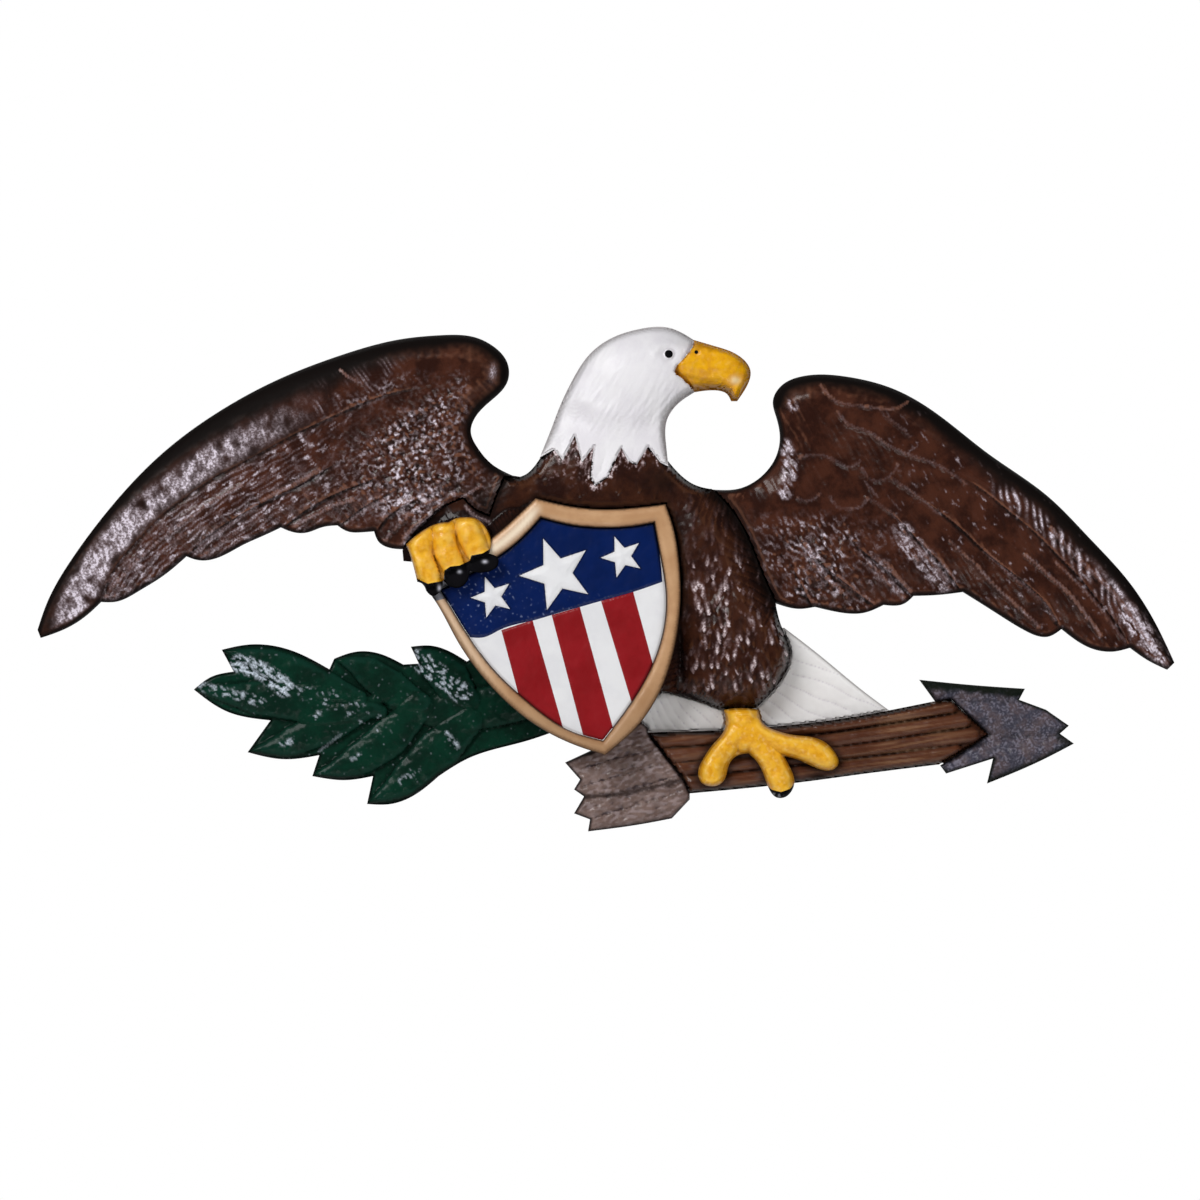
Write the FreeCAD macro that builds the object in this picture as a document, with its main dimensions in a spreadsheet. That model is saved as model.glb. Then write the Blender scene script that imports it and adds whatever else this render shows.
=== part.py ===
import FreeCAD, Part

import math
import os

from FreeCAD import Placement, Rotation, Vector

# Eagle wall sculpture, about 30 in across: a relief of hollow-backed metal castings.
# The body casting carries all the others. Each of them runs under the body as a flat root,
# and screws from behind hold the roots. The back of the roots lies on the wall.
# Frame: +X to the viewer's right, +Z up, the front faces -Y, the wall is the plane y = 0.
# The origin lies midway between the two keyholes, and a depth is counted from the wall.

# Driving sizes in millimetres.
SIZES = [
    ("body_width", 259.3), ("body_height", 200.0),
    ("left_wing_length", 347.3), ("left_wing_height", 202.7),
    ("right_wing_length", 326.0), ("right_wing_height", 197.0),
    ("head_width", 140.7), ("head_height", 106.7),
    ("tail_width", 174.7), ("tail_height", 74.7),
    ("branch_length", 278.7), ("branch_height", 105.3),
    ("shield_width", 172.0), ("shield_height", 170.0),
    ("shaft_length", 203.3), ("bundle_height", 61.3),
    ("fletching_length", 86.7), ("fletching_height", 71.3),
    ("arrowhead_length", 103.3), ("arrowhead_height", 69.3),
    ("claw_width", 55.3), ("claw_height", 43.3),
    ("foot_width", 93.3), ("foot_height", 66.7),
    # Depths from the wall
    ("root_thickness", 8.0), ("body_rim_depth", 20.0), ("body_front_depth", 38.0),
    ("thigh_front_depth", 45.0), ("shield_seat_depth", 30.0), ("casting_wall", 4.0),
    ("wing_arm_depth", 26.0), ("wing_covert_depth", 19.0), ("feather_ridge_depth", 15.0),
    ("feather_edge_depth", 10.0), ("feather_tip_depth", 8.5),
    ("head_front_depth", 38.0), ("beak_front_depth", 32.0), ("head_rim_depth", 14.0),
    ("eye_seat_depth", 28.0), ("eye_front_depth", 32.5),
    ("tail_ridge_depth", 11.0), ("leaf_ridge_depth", 15.0), ("leaf_edge_depth", 9.5),
    ("tongue_thickness", 4.0), ("shaft_front_depth", 24.0), ("shaft_radius", 6.8),
    ("vane_edge_depth", 15.0), ("vane_ridge_depth", 23.0),
    ("arrowhead_edge_depth", 14.0), ("arrowhead_ridge_depth", 21.0),
    # Shield
    ("frame_depth", 16.0), ("frame_bevel", 2.6), ("ledge_width", 3.5), ("ledge_thickness", 4.0),
    ("panel_thickness", 6.5), ("star_rise", 1.4), ("star_large_radius", 26.0),
    ("star_small_radius", 14.0), ("field_rise", 0.8),
    # Claw and foot
    ("claw_toe_radius", 8.0), ("claw_talon_radius", 3.6), ("foot_toe_radius", 7.4),
    ("foot_talon_radius", 3.8), ("talon_tip_radius", 0.8), ("claw_front_depth", 58.0),
    ("foot_front_depth", 38.0),
    # Keyhole hangers
    ("hanger_spacing", 406.4), ("keyhole_radius", 5.0), ("keyhole_slot_width", 5.0),
    ("keyhole_slot_rise", 12.0), ("hanger_width", 22.0), ("hanger_height", 44.0),
    ("hanger_thickness", 1.6), ("hanger_inset", 2.0), ("hanger_screw_pitch", 34.0),
    ("hanger_pocket_depth", 11.0), ("hanger_pocket_width", 14.0), ("hanger_pad_margin", 4.0),
    ("hanger_screw_radius", 1.5), ("hanger_screw_head_radius", 3.0),
    ("hanger_screw_head_height", 1.5), ("hanger_screw_length", 6.5),
    ("hanger_pad_depth", 14.5),
    # Screws that hold the castings
    ("screw_radius", 2.0), ("screw_head_radius", 4.0), ("screw_head_height", 2.6),
    ("screw_length", 12.0), ("tongue_screw_length", 8.0), ("recess_radius", 5.0),
    ("recess_depth", 3.2), ("boss_radius", 6.0), ("boss_setback", 1.0),
    # Clearances
    ("part_line_gap", 0.4), ("front_gap", 0.3), ("bore_gap", 0.05), ("hole_gap", 0.3),
    ("overrun", 5.0), ("arc_fit", 0.6), ("face_tolerance", 0.001),
]

# Outlines in photo pixels, u to the right and v down. A run of three or more points is a
# smooth curve, a run of two is a straight line, and the runs meet in corners.
ORIGIN_PX = (630, 467)

BODY_PX = [
    [(540, 458), (555, 440)],
    [(555, 440), (575, 430)],
    [(575, 430), (648, 440)],
    [(648, 440), (666, 458)],
    [(666, 458), (680, 474), (696, 485), (712, 489)],
    [(712, 489), (735, 515), (752, 548), (764, 578), (776, 604)],
    [(776, 604), (781, 624), (791, 655), (776, 688), (757, 708)],
    [(757, 708), (738, 710), (718, 708)],
    [(718, 708), (700, 701), (680, 695), (662, 690)],
    [(662, 690), (640, 712), (600, 730), (548, 706), (498, 664), (462, 618), (438, 590)],
    [(438, 590), (421, 574)],
    [(421, 574), (414, 562)],
    [(414, 562), (403, 561)],
    [(403, 561), (402, 550)],
    [(402, 550), (411, 539), (425, 524), (443, 508), (463, 499)],
    [(463, 499), (473, 509), (490, 517)],
    [(490, 517), (498, 494), (505, 478)],
    [(505, 478), (524, 475), (540, 458)],
]

LEFT_WING_PX = [
    [(512, 475), (492, 464), (477, 447), (470, 430), (474, 417), (492, 398), (507, 380),
     (507, 362), (494, 346), (474, 336), (440, 334), (400, 338), (340, 354), (280, 377),
     (220, 409), (160, 453), (110, 505), (70, 558), (44, 604), (35, 630)],
    [(35, 630), (38, 638)],
    [(38, 638), (62, 629), (84, 615), (98, 602)],
    [(98, 602), (112, 602), (136, 591), (160, 576), (184, 556)],
    [(184, 556), (196, 560), (214, 558), (240, 545), (262, 535), (279, 527)],
    [(279, 527), (292, 532), (306, 532), (320, 527), (336, 525)],
    [(336, 525), (346, 531), (360, 532), (373, 531)],
    [(373, 531), (378, 542), (390, 548), (402, 549)],
    [(402, 549), (411, 538), (425, 523), (443, 507), (462, 498)],
    [(462, 498), (472, 509), (490, 516)],
    [(490, 516), (500, 524)],
    [(500, 524), (556, 520)],
    [(556, 520), (556, 482)],
    [(556, 482), (512, 475)],
]

RIGHT_WING_PX = [
    [(712, 489), (740, 488), (762, 476), (777, 456), (781, 437), (777, 415), (774, 400),
     (783, 384), (800, 376), (850, 376), (895, 388), (940, 414), (990, 453), (1050, 496),
     (1090, 536), (1130, 580), (1160, 627), (1177, 663)],
    [(1177, 663), (1170, 670)],
    [(1170, 670), (1150, 660), (1133, 648)],
    [(1133, 648), (1115, 652), (1095, 649), (1064, 629)],
    [(1064, 629), (1050, 637), (1028, 631), (1000, 614), (965, 592)],
    [(965, 592), (940, 595), (915, 596)],
    [(915, 596), (905, 604), (885, 605)],
    [(885, 605), (865, 613), (838, 612), (816, 607)],
    [(816, 607), (800, 609), (778, 604)],
    [(778, 604), (735, 590)],
    [(735, 590), (692, 572)],
    [(692, 572), (692, 508)],
    [(692, 508), (712, 489)],
]

HEAD_PX = [
    [(540, 458), (550, 432), (560, 405), (572, 380), (590, 353), (612, 337), (640, 328),
     (670, 327), (694, 339)],
    [(694, 339), (718, 346), (738, 354), (751, 370), (746, 388), (736, 402)],
    [(736, 402), (729, 394), (714, 389), (695, 391)],
    [(695, 391), (678, 403), (667, 420), (666, 444), (668, 467)],
    [(668, 467), (660, 463)],
    [(660, 463), (648, 447)],
    [(648, 447), (636, 466)],
    [(636, 466), (628, 462)],
    [(628, 462), (621, 448)],
    [(621, 448), (608, 478)],
    [(608, 478), (595, 487)],
    [(595, 487), (590, 478)],
    [(590, 478), (594, 447)],
    [(594, 447), (582, 463)],
    [(582, 463), (575, 436)],
    [(575, 436), (563, 461)],
    [(563, 461), (554, 450)],
    [(554, 450), (540, 458)],
]
HEAD_ROOT_PX = [[(574, 462), (645, 462)], [(645, 462), (645, 508)],
                [(645, 508), (574, 508)], [(574, 508), (574, 462)]]

TAIL_PX = [
    [(785, 628), (820, 655), (860, 688), (896, 715)],
    [(896, 715), (884, 742)],
    [(884, 742), (655, 755)],
    [(655, 755), (636, 722)],
    [(636, 722), (648, 680)],
    [(648, 680), (700, 640)],
    [(700, 640), (785, 628)],
]

BRANCH_PX = [
    [(192, 690), (210, 677), (232, 672)],
    [(232, 672), (220, 650)],
    [(220, 650), (245, 645), (290, 651), (328, 670)],
    [(328, 670), (333, 659)],
    [(333, 659), (355, 652), (378, 654), (402, 665)],
    [(402, 665), (418, 664)],
    [(418, 664), (410, 647)],
    [(410, 647), (430, 646), (447, 651), (466, 662)],
    [(466, 662), (500, 640)],
    [(500, 640), (590, 655)],
    [(590, 655), (604, 700)],
    [(604, 700), (560, 730)],
    [(560, 730), (525, 742), (468, 759), (438, 777)],
    [(438, 777), (412, 797), (390, 805), (366, 805)],
    [(366, 805), (372, 777)],
    [(372, 777), (345, 781), (311, 777)],
    [(311, 777), (318, 756)],
    [(318, 756), (282, 760), (246, 753)],
    [(246, 753), (269, 721)],
    [(269, 721), (225, 712), (192, 690)],
]

SHIELD_PX = [
    [(536, 499), (560, 505), (600, 510), (640, 508), (665, 505)],
    [(665, 505), (672, 525), (678, 558), (680, 590), (677, 630), (664, 680), (640, 722),
     (605, 754)],
    [(605, 754), (575, 744), (530, 720), (485, 678), (458, 640), (437, 602), (422, 582)],
    [(422, 582), (445, 566), (480, 547), (511, 523), (536, 499)],
]
PANEL_PX = [
    [(541, 518), (575, 526), (600, 528), (630, 527), (654, 523)],
    [(654, 523), (661, 560), (666, 596), (661, 640), (642, 685), (603, 740)],
    [(603, 740), (570, 730), (530, 703), (492, 667), (470, 637), (452, 608), (441, 590)],
    [(441, 590), (464, 578), (492, 561), (518, 542), (541, 518)],
]
FIELD_PX = [
    [(541, 518), (575, 526), (600, 528), (630, 527), (654, 523)],
    [(654, 523), (658, 545), (662, 582)],
    [(662, 582), (601, 601), (535, 620), (485, 637), (470, 637)],
    [(470, 637), (452, 608), (441, 590)],
    [(441, 590), (464, 578), (492, 561), (518, 542), (541, 518)],
]

SHAFTS_PX = [
    [(648, 733), (720, 731)],
    [(720, 731), (830, 721), (934, 702)],
    [(934, 702), (952, 700)],
    [(952, 700), (990, 735)],
    [(990, 735), (940, 765)],
    [(940, 765), (860, 775), (800, 783), (690, 794)],
    [(690, 794), (685, 782)],
    [(685, 782), (648, 733)],
]
FLETCHING_PX = [
    [(648, 728), (606, 744)],
    [(606, 744), (565, 763)],
    [(565, 763), (580, 780)],
    [(580, 780), (574, 790)],
    [(574, 790), (584, 797)],
    [(584, 797), (574, 814)],
    [(574, 814), (590, 820)],
    [(590, 820), (588, 832)],
    [(588, 832), (640, 825), (672, 819)],
    [(672, 819), (690, 800)],
    [(690, 800), (695, 780)],
    [(695, 780), (648, 728)],
]
ARROWHEADS_PX = [
    [(920, 680), (970, 685), (1026, 689)],
    [(1026, 689), (1020, 700)],
    [(1020, 700), (1047, 710)],
    [(1047, 710), (1070, 726)],
    [(1070, 726), (1061, 734)],
    [(1061, 734), (1075, 744)],
    [(1075, 744), (1040, 762), (988, 784)],
    [(988, 784), (994, 759)],
    [(994, 759), (947, 774)],
    [(947, 774), (941, 764)],
    [(941, 764), (962, 740), (936, 704)],
    [(936, 704), (920, 680)],
]
SHAFT_HEAD_TONGUE_PX = [[(930, 712), (1030, 716)], [(1030, 716), (1030, 742)],
                        [(1030, 742), (930, 752)], [(930, 752), (930, 712)]]
SHAFT_VANE_TONGUE_PX = [[(612, 760), (700, 750)], [(700, 750), (700, 785)],
                        [(700, 785), (612, 795)], [(612, 795), (612, 760)]]
SHAFT_RIDGES_PX = [
    [(668, 745), (760, 735), (945, 711)],
    [(676, 758), (780, 749), (962, 722)],
    [(684, 772), (780, 763), (970, 737)],
    [(694, 785), (800, 774), (945, 755)],
]

ANKLE_PX = [
    [(724, 702), (758, 702)],
    [(758, 702), (762, 722)],
    [(762, 722), (742, 730), (722, 724)],
    [(722, 724), (724, 702)],
]

# Feather blades: spine points, then the width at each station in pixels.
LEFT_PRIMARIES_PX = [
    ([(300, 400), (235, 432), (172, 473), (125, 522), (87, 572), (42, 630)],
     [26, 32, 33, 32, 26, 3]),
    ([(310, 450), (260, 475), (220, 495), (180, 527), (140, 562), (108, 597)],
     [20, 24, 26, 26, 20, 3]),
    ([(345, 465), (300, 492), (260, 515), (225, 538), (197, 556)], [20, 24, 24, 18, 3]),
    ([(380, 470), (345, 495), (315, 515), (299, 529)], [20, 22, 20, 4]),
    ([(420, 465), (392, 490), (366, 512), (352, 528)], [20, 22, 20, 4]),
    ([(445, 480), (420, 505), (398, 527), (387, 543)], [20, 22, 20, 4]),
]
LEFT_COVERTS_PX = [
    ([(440, 395), (370, 420), (290, 458)], [24, 24, 6]),
    ([(450, 414), (390, 444), (325, 480)], [22, 22, 6]),
    ([(458, 436), (405, 468), (360, 502)], [22, 22, 6]),
    ([(475, 462), (445, 487), (420, 516)], [20, 20, 6]),
]
LEFT_ARM_PX = ([(486, 366), (430, 360), (350, 385), (265, 428), (190, 484)],
               [34, 42, 44, 36, 10])

RIGHT_PRIMARIES_PX = [
    ([(900, 410), (960, 450), (1020, 495), (1080, 560), (1125, 610), (1168, 662)],
     [28, 34, 36, 34, 28, 3]),
    ([(930, 460), (985, 510), (1035, 560), (1080, 605), (1120, 646)], [24, 28, 30, 26, 3]),
    ([(900, 480), (950, 530), (995, 575), (1025, 602), (1048, 630)], [24, 28, 30, 26, 3]),
    ([(880, 500), (915, 540), (940, 570), (950, 590)], [22, 26, 24, 4]),
    ([(850, 510), (872, 550), (890, 580), (898, 600)], [22, 26, 24, 4]),
    ([(820, 515), (836, 550), (850, 585), (856, 606)], [22, 26, 24, 4]),
    ([(790, 520), (800, 555), (802, 585), (798, 603)], [22, 24, 20, 4]),
]
RIGHT_COVERTS_PX = [
    ([(820, 405), (875, 445), (940, 500)], [24, 24, 6]),
    ([(805, 425), (850, 470), (900, 530)], [24, 24, 6]),
    ([(795, 450), (822, 490), (850, 540)], [24, 24, 6]),
    ([(770, 490), (785, 515), (795, 550)], [22, 22, 6]),
]
RIGHT_ARM_PX = ([(796, 398), (840, 393), (890, 408), (945, 442), (1010, 494)],
                [34, 40, 42, 36, 10])

TAIL_FEATHERS_PX = [
    ([(770, 640), (820, 672), (880, 712)], [10, 14, 8]),
    ([(765, 655), (800, 685), (845, 714)], [10, 14, 8]),
    ([(760, 675), (780, 695), (805, 714)], [10, 14, 8]),
    ([(700, 672), (676, 704), (664, 724)], [10, 12, 8]),
    ([(715, 680), (700, 708), (694, 728)], [10, 12, 8]),
]

LEAVES_PX = [
    ([(310, 700), (270, 698), (235, 694), (200, 691)], [14, 30, 26, 3]),
    ([(335, 690), (300, 676), (262, 662), (228, 652)], [14, 28, 24, 3]),
    ([(400, 700), (380, 680), (360, 667), (340, 660)], [12, 24, 20, 3]),
    ([(460, 700), (446, 680), (432, 664), (416, 650)], [12, 24, 20, 3]),
    ([(350, 712), (318, 728), (285, 741), (254, 751)], [14, 26, 24, 3]),
    ([(405, 720), (380, 748), (350, 764), (318, 774)], [14, 26, 24, 3]),
    ([(460, 735), (430, 764), (402, 786), (374, 800)], [16, 30, 26, 3]),
    ([(520, 705), (440, 712), (360, 705), (300, 690)], [30, 30, 24, 6]),
]

ARROWHEAD_RIDGES_PX = [
    ([(930, 692), (970, 690), (1022, 692)], [6, 16, 3]),
    ([(960, 722), (1010, 718), (1066, 726)], [20, 34, 3]),
    ([(975, 772), (1020, 752), (1070, 743)], [14, 24, 3]),
]
VANE_RIDGES_PX = [
    ([(660, 745), (620, 758), (576, 770)], [14, 18, 14]),
    ([(678, 770), (630, 784), (584, 793)], [14, 18, 14]),
    ([(690, 795), (640, 808), (592, 820)], [14, 18, 14]),
]

CLAW_PX = {
    "toes": [
        [(424, 540), (420, 556), (430, 574), (440, 588)],
        [(445, 532), (446, 550), (456, 566), (462, 580)],
        [(468, 528), (474, 542), (484, 554), (494, 566)],
    ],
    "corners": [(410, 520), (493, 585)],
}
FOOT_PX = {
    "toes": [
        [(738, 728), (722, 748), (712, 768), (714, 786)],
        [(746, 728), (764, 755), (776, 776), (782, 796)],
        [(752, 726), (785, 742), (815, 753), (834, 768)],
    ],
    "corners": [(698, 700), (838, 800)],
}
CLAW_PAD_PX = (452, 545)
CLAW_PAD_CORNERS_PX = [(414, 546), (424, 532), (448, 526), (474, 523), (486, 538), (486, 562),
                       (426, 582), (418, 572)]

# Screws through the roots into the body, and where the other castings are held.
WING_SCREWS_PX = [(518, 494), (538, 506), (708, 522), (708, 560)]
HEAD_SCREWS_PX = [(592, 496), (628, 496)]
TAIL_SCREWS_PX = [(690, 665), (752, 662)]
BRANCH_SCREWS_PX = [(520, 668), (570, 690)]
SHIELD_SCREWS_PX = [(550, 560), (618, 590), (575, 650)]
SHAFT_SCREWS_PX = [(696, 742), (820, 733)]
VANE_SCREWS_PX = [(634, 778)]
ARROWHEAD_SCREWS_PX = [(1010, 720)]
CLAW_SCREWS_PX = [(448, 550)]
FOOT_SCREWS_PX = [(741, 715)]

STARS_PX = [
    ("star_large_radius", (557, 574), -21), ("star_small_radius", (493, 597), -20),
    ("star_small_radius", (622, 557), -21),
]
STAR_WAIST_SHARE = 0.42
STAR_POINTS = 5
TOE_SIDES = 10

doc = FreeCAD.newDocument("eagle_wall_sculpture")
sheet = doc.addObject("Spreadsheet::Sheet", "sizes")
for row, (name, value) in enumerate(SIZES, start=1):
    sheet.set(f"A{row}", name)
    sheet.set(f"B{row}", str(value))
    sheet.setAlias(f"B{row}", name)
doc.recompute()


def size(name):
    """Read one driving size from the sheet."""
    return float(sheet.get(name))


def points_of(runs):
    """List the points of an outline's runs."""
    return [point for run in runs for point in run]


def span(points, axis):
    """Measure a set of photo points across (axis 0) or down (axis 1)."""
    values = [point[axis] for point in points]
    return max(values) - min(values)


BODY_STEP_X = size("body_width") / span(points_of(BODY_PX), 0)
BODY_STEP_Z = size("body_height") / span(points_of(BODY_PX), 1)


def on_body(u, v, depth=0):
    """Turn a photo point of the body casting into a place at a depth."""
    x = (u - ORIGIN_PX[0]) * BODY_STEP_X
    z = (ORIGIN_PX[1] - v) * BODY_STEP_Z
    return Vector(x, -depth, z)


def frame_from(points, anchor, width_name, height_name):
    """Make the frame of a piece: its own width and height, hung on a point of the body."""
    step_x = size(width_name) / span(points, 0)
    step_z = size(height_name) / span(points, 1)
    root = on_body(*anchor)

    def place(u, v, depth=0):
        x = root.x + (u - anchor[0]) * step_x
        z = root.z + (anchor[1] - v) * step_z
        return Vector(x, -depth, z)

    place.step = (step_x + step_z) / 2
    return place


on_body.step = (BODY_STEP_X + BODY_STEP_Z) / 2
on_left_wing = frame_from(points_of(LEFT_WING_PX), (505, 478), "left_wing_length",
                          "left_wing_height")
on_right_wing = frame_from(points_of(RIGHT_WING_PX), (712, 489), "right_wing_length",
                           "right_wing_height")
on_head = frame_from(points_of(HEAD_PX), (605, 458), "head_width", "head_height")
on_tail = frame_from(points_of(TAIL_PX), (740, 700), "tail_width", "tail_height")
on_branch = frame_from(points_of(BRANCH_PX), (540, 680), "branch_length", "branch_height")
on_shield = frame_from(points_of(SHIELD_PX), (575, 600), "shield_width", "shield_height")
on_shafts = frame_from(points_of(SHAFTS_PX), (741, 740), "shaft_length", "bundle_height")
on_vanes = frame_from(points_of(FLETCHING_PX), (680, 770), "fletching_length",
                      "fletching_height")
on_heads = frame_from(points_of(ARROWHEADS_PX), (950, 735), "arrowhead_length",
                      "arrowhead_height")
on_claw = frame_from(CLAW_PX["corners"], CLAW_PAD_PX, "claw_width", "claw_height")
on_foot = frame_from(FOOT_PX["corners"], (741, 715), "foot_width", "foot_height")


def outline(runs, place, depth=0):
    """Join an outline's runs into one closed wire of tangent arcs and lines at a depth."""
    edges = []
    for run in runs:
        spots = [place(u, v, depth) for u, v in run]
        if len(spots) == 2:
            edges.append(Part.LineSegment(spots[0], spots[1]).toShape())
        else:
            curve = Part.BSplineCurve()
            curve.interpolate(spots)
            edges += [arc.toShape() for arc in curve.toBiArcs(size("arc_fit"))]
    return Part.Wire(edges)


def plate(runs, place, back, front, grow=0):
    """Make a flat plate of an outline, grown or shrunk evenly, between two depths."""
    face = Part.Face(outline(runs, place, back))
    if grow:
        face = face.makeOffset2D(grow)
    return face.extrude(Vector(0, back - front, 0))


def block(corners, place, back, front, grow=0):
    """Make a straight-sided block over photo corners, grown or not, between two depths."""
    spots = [place(u, v, back) for u, v in corners]
    face = Part.Face(Part.makePolygon(spots + spots[:1]))
    if grow:
        face = face.makeOffset2D(grow)
    return face.extrude(Vector(0, back - front, 0))


def clear_of(runs, place, back, front):
    """Make the cutter that keeps a neighbour off an outline by the part-line gap."""
    return plate(runs, place, back, front, size("part_line_gap"))


def post(spot, radius, back, front):
    """Make a round post or drill along the depth at a place."""
    start = Vector(spot.x, -back, spot.z)
    return Part.makeCylinder(radius, front - back, start, Vector(0, -1, 0))


def blade(spine, widths, place, floor, edge, ridges):
    """Loft a feather or leaf: a roof-shaped section that follows a curved spine."""
    curve = Part.BSplineCurve()
    curve.interpolate([place(u, v) for u, v in spine])
    sections = []
    last = len(widths) - 1
    for index, width in enumerate(widths):
        share = index / last
        at = curve.FirstParameter + (curve.LastParameter - curve.FirstParameter) * share
        middle = curve.value(at)
        along = curve.tangent(at)[0]
        side = Vector(-along.z, 0, along.x) * (width * place.step / 2)
        ridge = ridges[0] + (ridges[1] - ridges[0]) * share
        shoulder = min(edge, ridge)
        corners = [middle - side + Vector(0, -floor, 0), middle - side + Vector(0, -shoulder, 0),
                   middle + Vector(0, -ridge, 0), middle + side + Vector(0, -shoulder, 0),
                   middle + side + Vector(0, -floor, 0)]
        sections.append(Part.makePolygon(corners + corners[:1]))
    return Part.makeLoft(sections, True, False)


def dome(centre, reach, place, base, front):
    """Make a smooth dome over a photo point, as wide and tall as its reach in pixels."""
    ball = Part.makeSphere(1)
    spread = FreeCAD.Matrix()
    spread.scale(reach[0] * place.step, front - base, reach[1] * place.step)
    return ball.transformGeometry(spread).translated(place(centre[0], centre[1], base))


def limb(path, radii, place, depths):
    """Loft a round toe through its joints, each with its own radius and depth."""
    spots = [place(u, v, depth) for (u, v), depth in zip(path, depths)]
    rings = []
    for index, spot in enumerate(spots):
        before = spots[max(index - 1, 0)]
        after = spots[min(index + 1, len(spots) - 1)]
        along = after - before
        turn = Rotation(Vector(0, 0, 1), along)
        ring = [spot + turn.multVec(Vector(math.cos(a), math.sin(a), 0) * radii[index])
                for a in [math.tau * step / TOE_SIDES for step in range(TOE_SIDES)]]
        rings.append(Part.makePolygon(ring + ring[:1]))
    return Part.makeLoft(rings, True, False)


def hollow(corners, place, ceiling, back=0):
    """Make the cutter of a cored pocket that opens at the back."""
    return block(corners, place, back - size("overrun"), ceiling)


def fused(shapes):
    """Fuse shapes into one solid."""
    return shapes[0].multiFuse(shapes[1:]).removeSplitter()


def star(centre, radius, lean, base, rise):
    """Raise a five-pointed star that leans by an angle."""
    middle = on_shield(*centre, base)
    points = []
    for step in range(2 * STAR_POINTS):
        reach = radius if step % 2 == 0 else radius * STAR_WAIST_SHARE
        angle = math.radians(lean) + math.pi * step / STAR_POINTS
        points.append(middle + Vector(reach * math.sin(angle), 0, reach * math.cos(angle)))
    face = Part.Face(Part.makePolygon(points + points[:1]))
    return face.extrude(Vector(0, -rise, 0))


def screw_hole(u, v, back, front, recess=True):
    """Drill a screw hole from behind, with a flat recess for its head."""
    spot = on_body(u, v)
    drill = post(spot, size("screw_radius") + size("hole_gap"), back - size("overrun"), front)
    if not recess:
        return drill
    head = post(spot, size("recess_radius"), back - size("overrun"), back + size("recess_depth"))
    return drill.fuse(head)


def screw_seat(u, v, seat, length):
    """Drill the blind hole that a screw's shank fills."""
    return post(on_body(u, v), size("screw_radius") + size("bore_gap"), seat - size("overrun"),
                seat + length)


ROOT = size("root_thickness")
SEAT = size("shield_seat_depth")
OVERRUN = size("overrun")
SHANK = size("screw_length") - (ROOT - size("recess_depth"))
TONGUE_FRONT = ROOT + size("tongue_thickness")
FRAME_FRONT = SEAT + size("frame_depth")
PANEL_BACK = SEAT + size("ledge_thickness")
PANEL_FRONT = PANEL_BACK + size("panel_thickness")

castings = {}


def hanger_seat(side):
    """Cut the recess of a hanger plate, the pocket behind its keyhole and its screw holes."""
    x = side * size("hanger_spacing") / 2
    inset = size("hanger_inset") + size("hanger_thickness")
    wide = size("hanger_width") + 2 * size("part_line_gap")
    tall = size("hanger_height") + 2 * size("part_line_gap")
    recess = Part.makeBox(wide, inset + OVERRUN, tall, Vector(x - wide / 2, -inset, -tall / 2))
    width = size("hanger_pocket_width")
    rise = size("keyhole_slot_rise")
    low = size("keyhole_radius") + size("part_line_gap")
    deep = size("hanger_pocket_depth")
    pocket = Part.makeBox(width, deep + OVERRUN, low + rise,
                          Vector(x - width / 2, -deep, -low))
    cutters = [recess, pocket]
    for z in (-size("hanger_screw_pitch") / 2, size("hanger_screw_pitch") / 2):
        front = inset + size("hanger_screw_length")
        cutters.append(post(Vector(x, 0, z), size("hanger_screw_radius") + size("bore_gap"),
                            -OVERRUN, front))
    return cutters


def hanger_pad(side):
    """Make the thick pad that a hanger plate is screwed to."""
    x = side * size("hanger_spacing") / 2
    wide = size("hanger_width") + 2 * size("hanger_pad_margin")
    tall = size("hanger_height") + 2 * size("hanger_pad_margin")
    start = Vector(x - wide / 2, -size("hanger_pad_depth"), -tall / 2)
    return Part.makeBox(wide, size("hanger_pad_depth"), tall, start)


def make_wing(side, runs, place, arm, coverts, primaries, cores, screws):
    """Cast a wing: root and rim slab, arm, coverts and primaries, cored from behind."""
    floor = size("casting_wall")
    parts = [plate(runs, place, 0, ROOT)]
    spine, widths = arm
    parts.append(blade(spine, widths, place, floor, size("wing_covert_depth"),
                       (size("wing_arm_depth"), size("feather_ridge_depth"))))
    for spine, widths in coverts:
        parts.append(blade(spine, widths, place, floor, size("feather_ridge_depth"),
                           (size("wing_covert_depth"), size("feather_edge_depth"))))
    for spine, widths in primaries:
        parts.append(blade(spine, widths, place, floor, size("feather_edge_depth"),
                           (size("feather_ridge_depth"), size("feather_tip_depth"))))
    wall = size("casting_wall")
    parts += [block(core, place, 0, ceiling + wall, wall) for core, ceiling in cores]
    solid = fused(parts)
    inside = plate(runs, place, 0, size("thigh_front_depth"))
    solid = solid.common(inside)
    for core, ceiling in cores:
        solid = solid.cut(hollow(core, place, ceiling))
    solid = solid.fuse(hanger_pad(side).common(inside)).removeSplitter()
    cutters = hanger_seat(side)
    cutters += [screw_hole(u, v, 0, ROOT + OVERRUN) for u, v in screws]
    cutters.append(clear_of(BODY_PX, on_body, ROOT, size("thigh_front_depth") + OVERRUN))
    return solid.cut(cutters)


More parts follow.
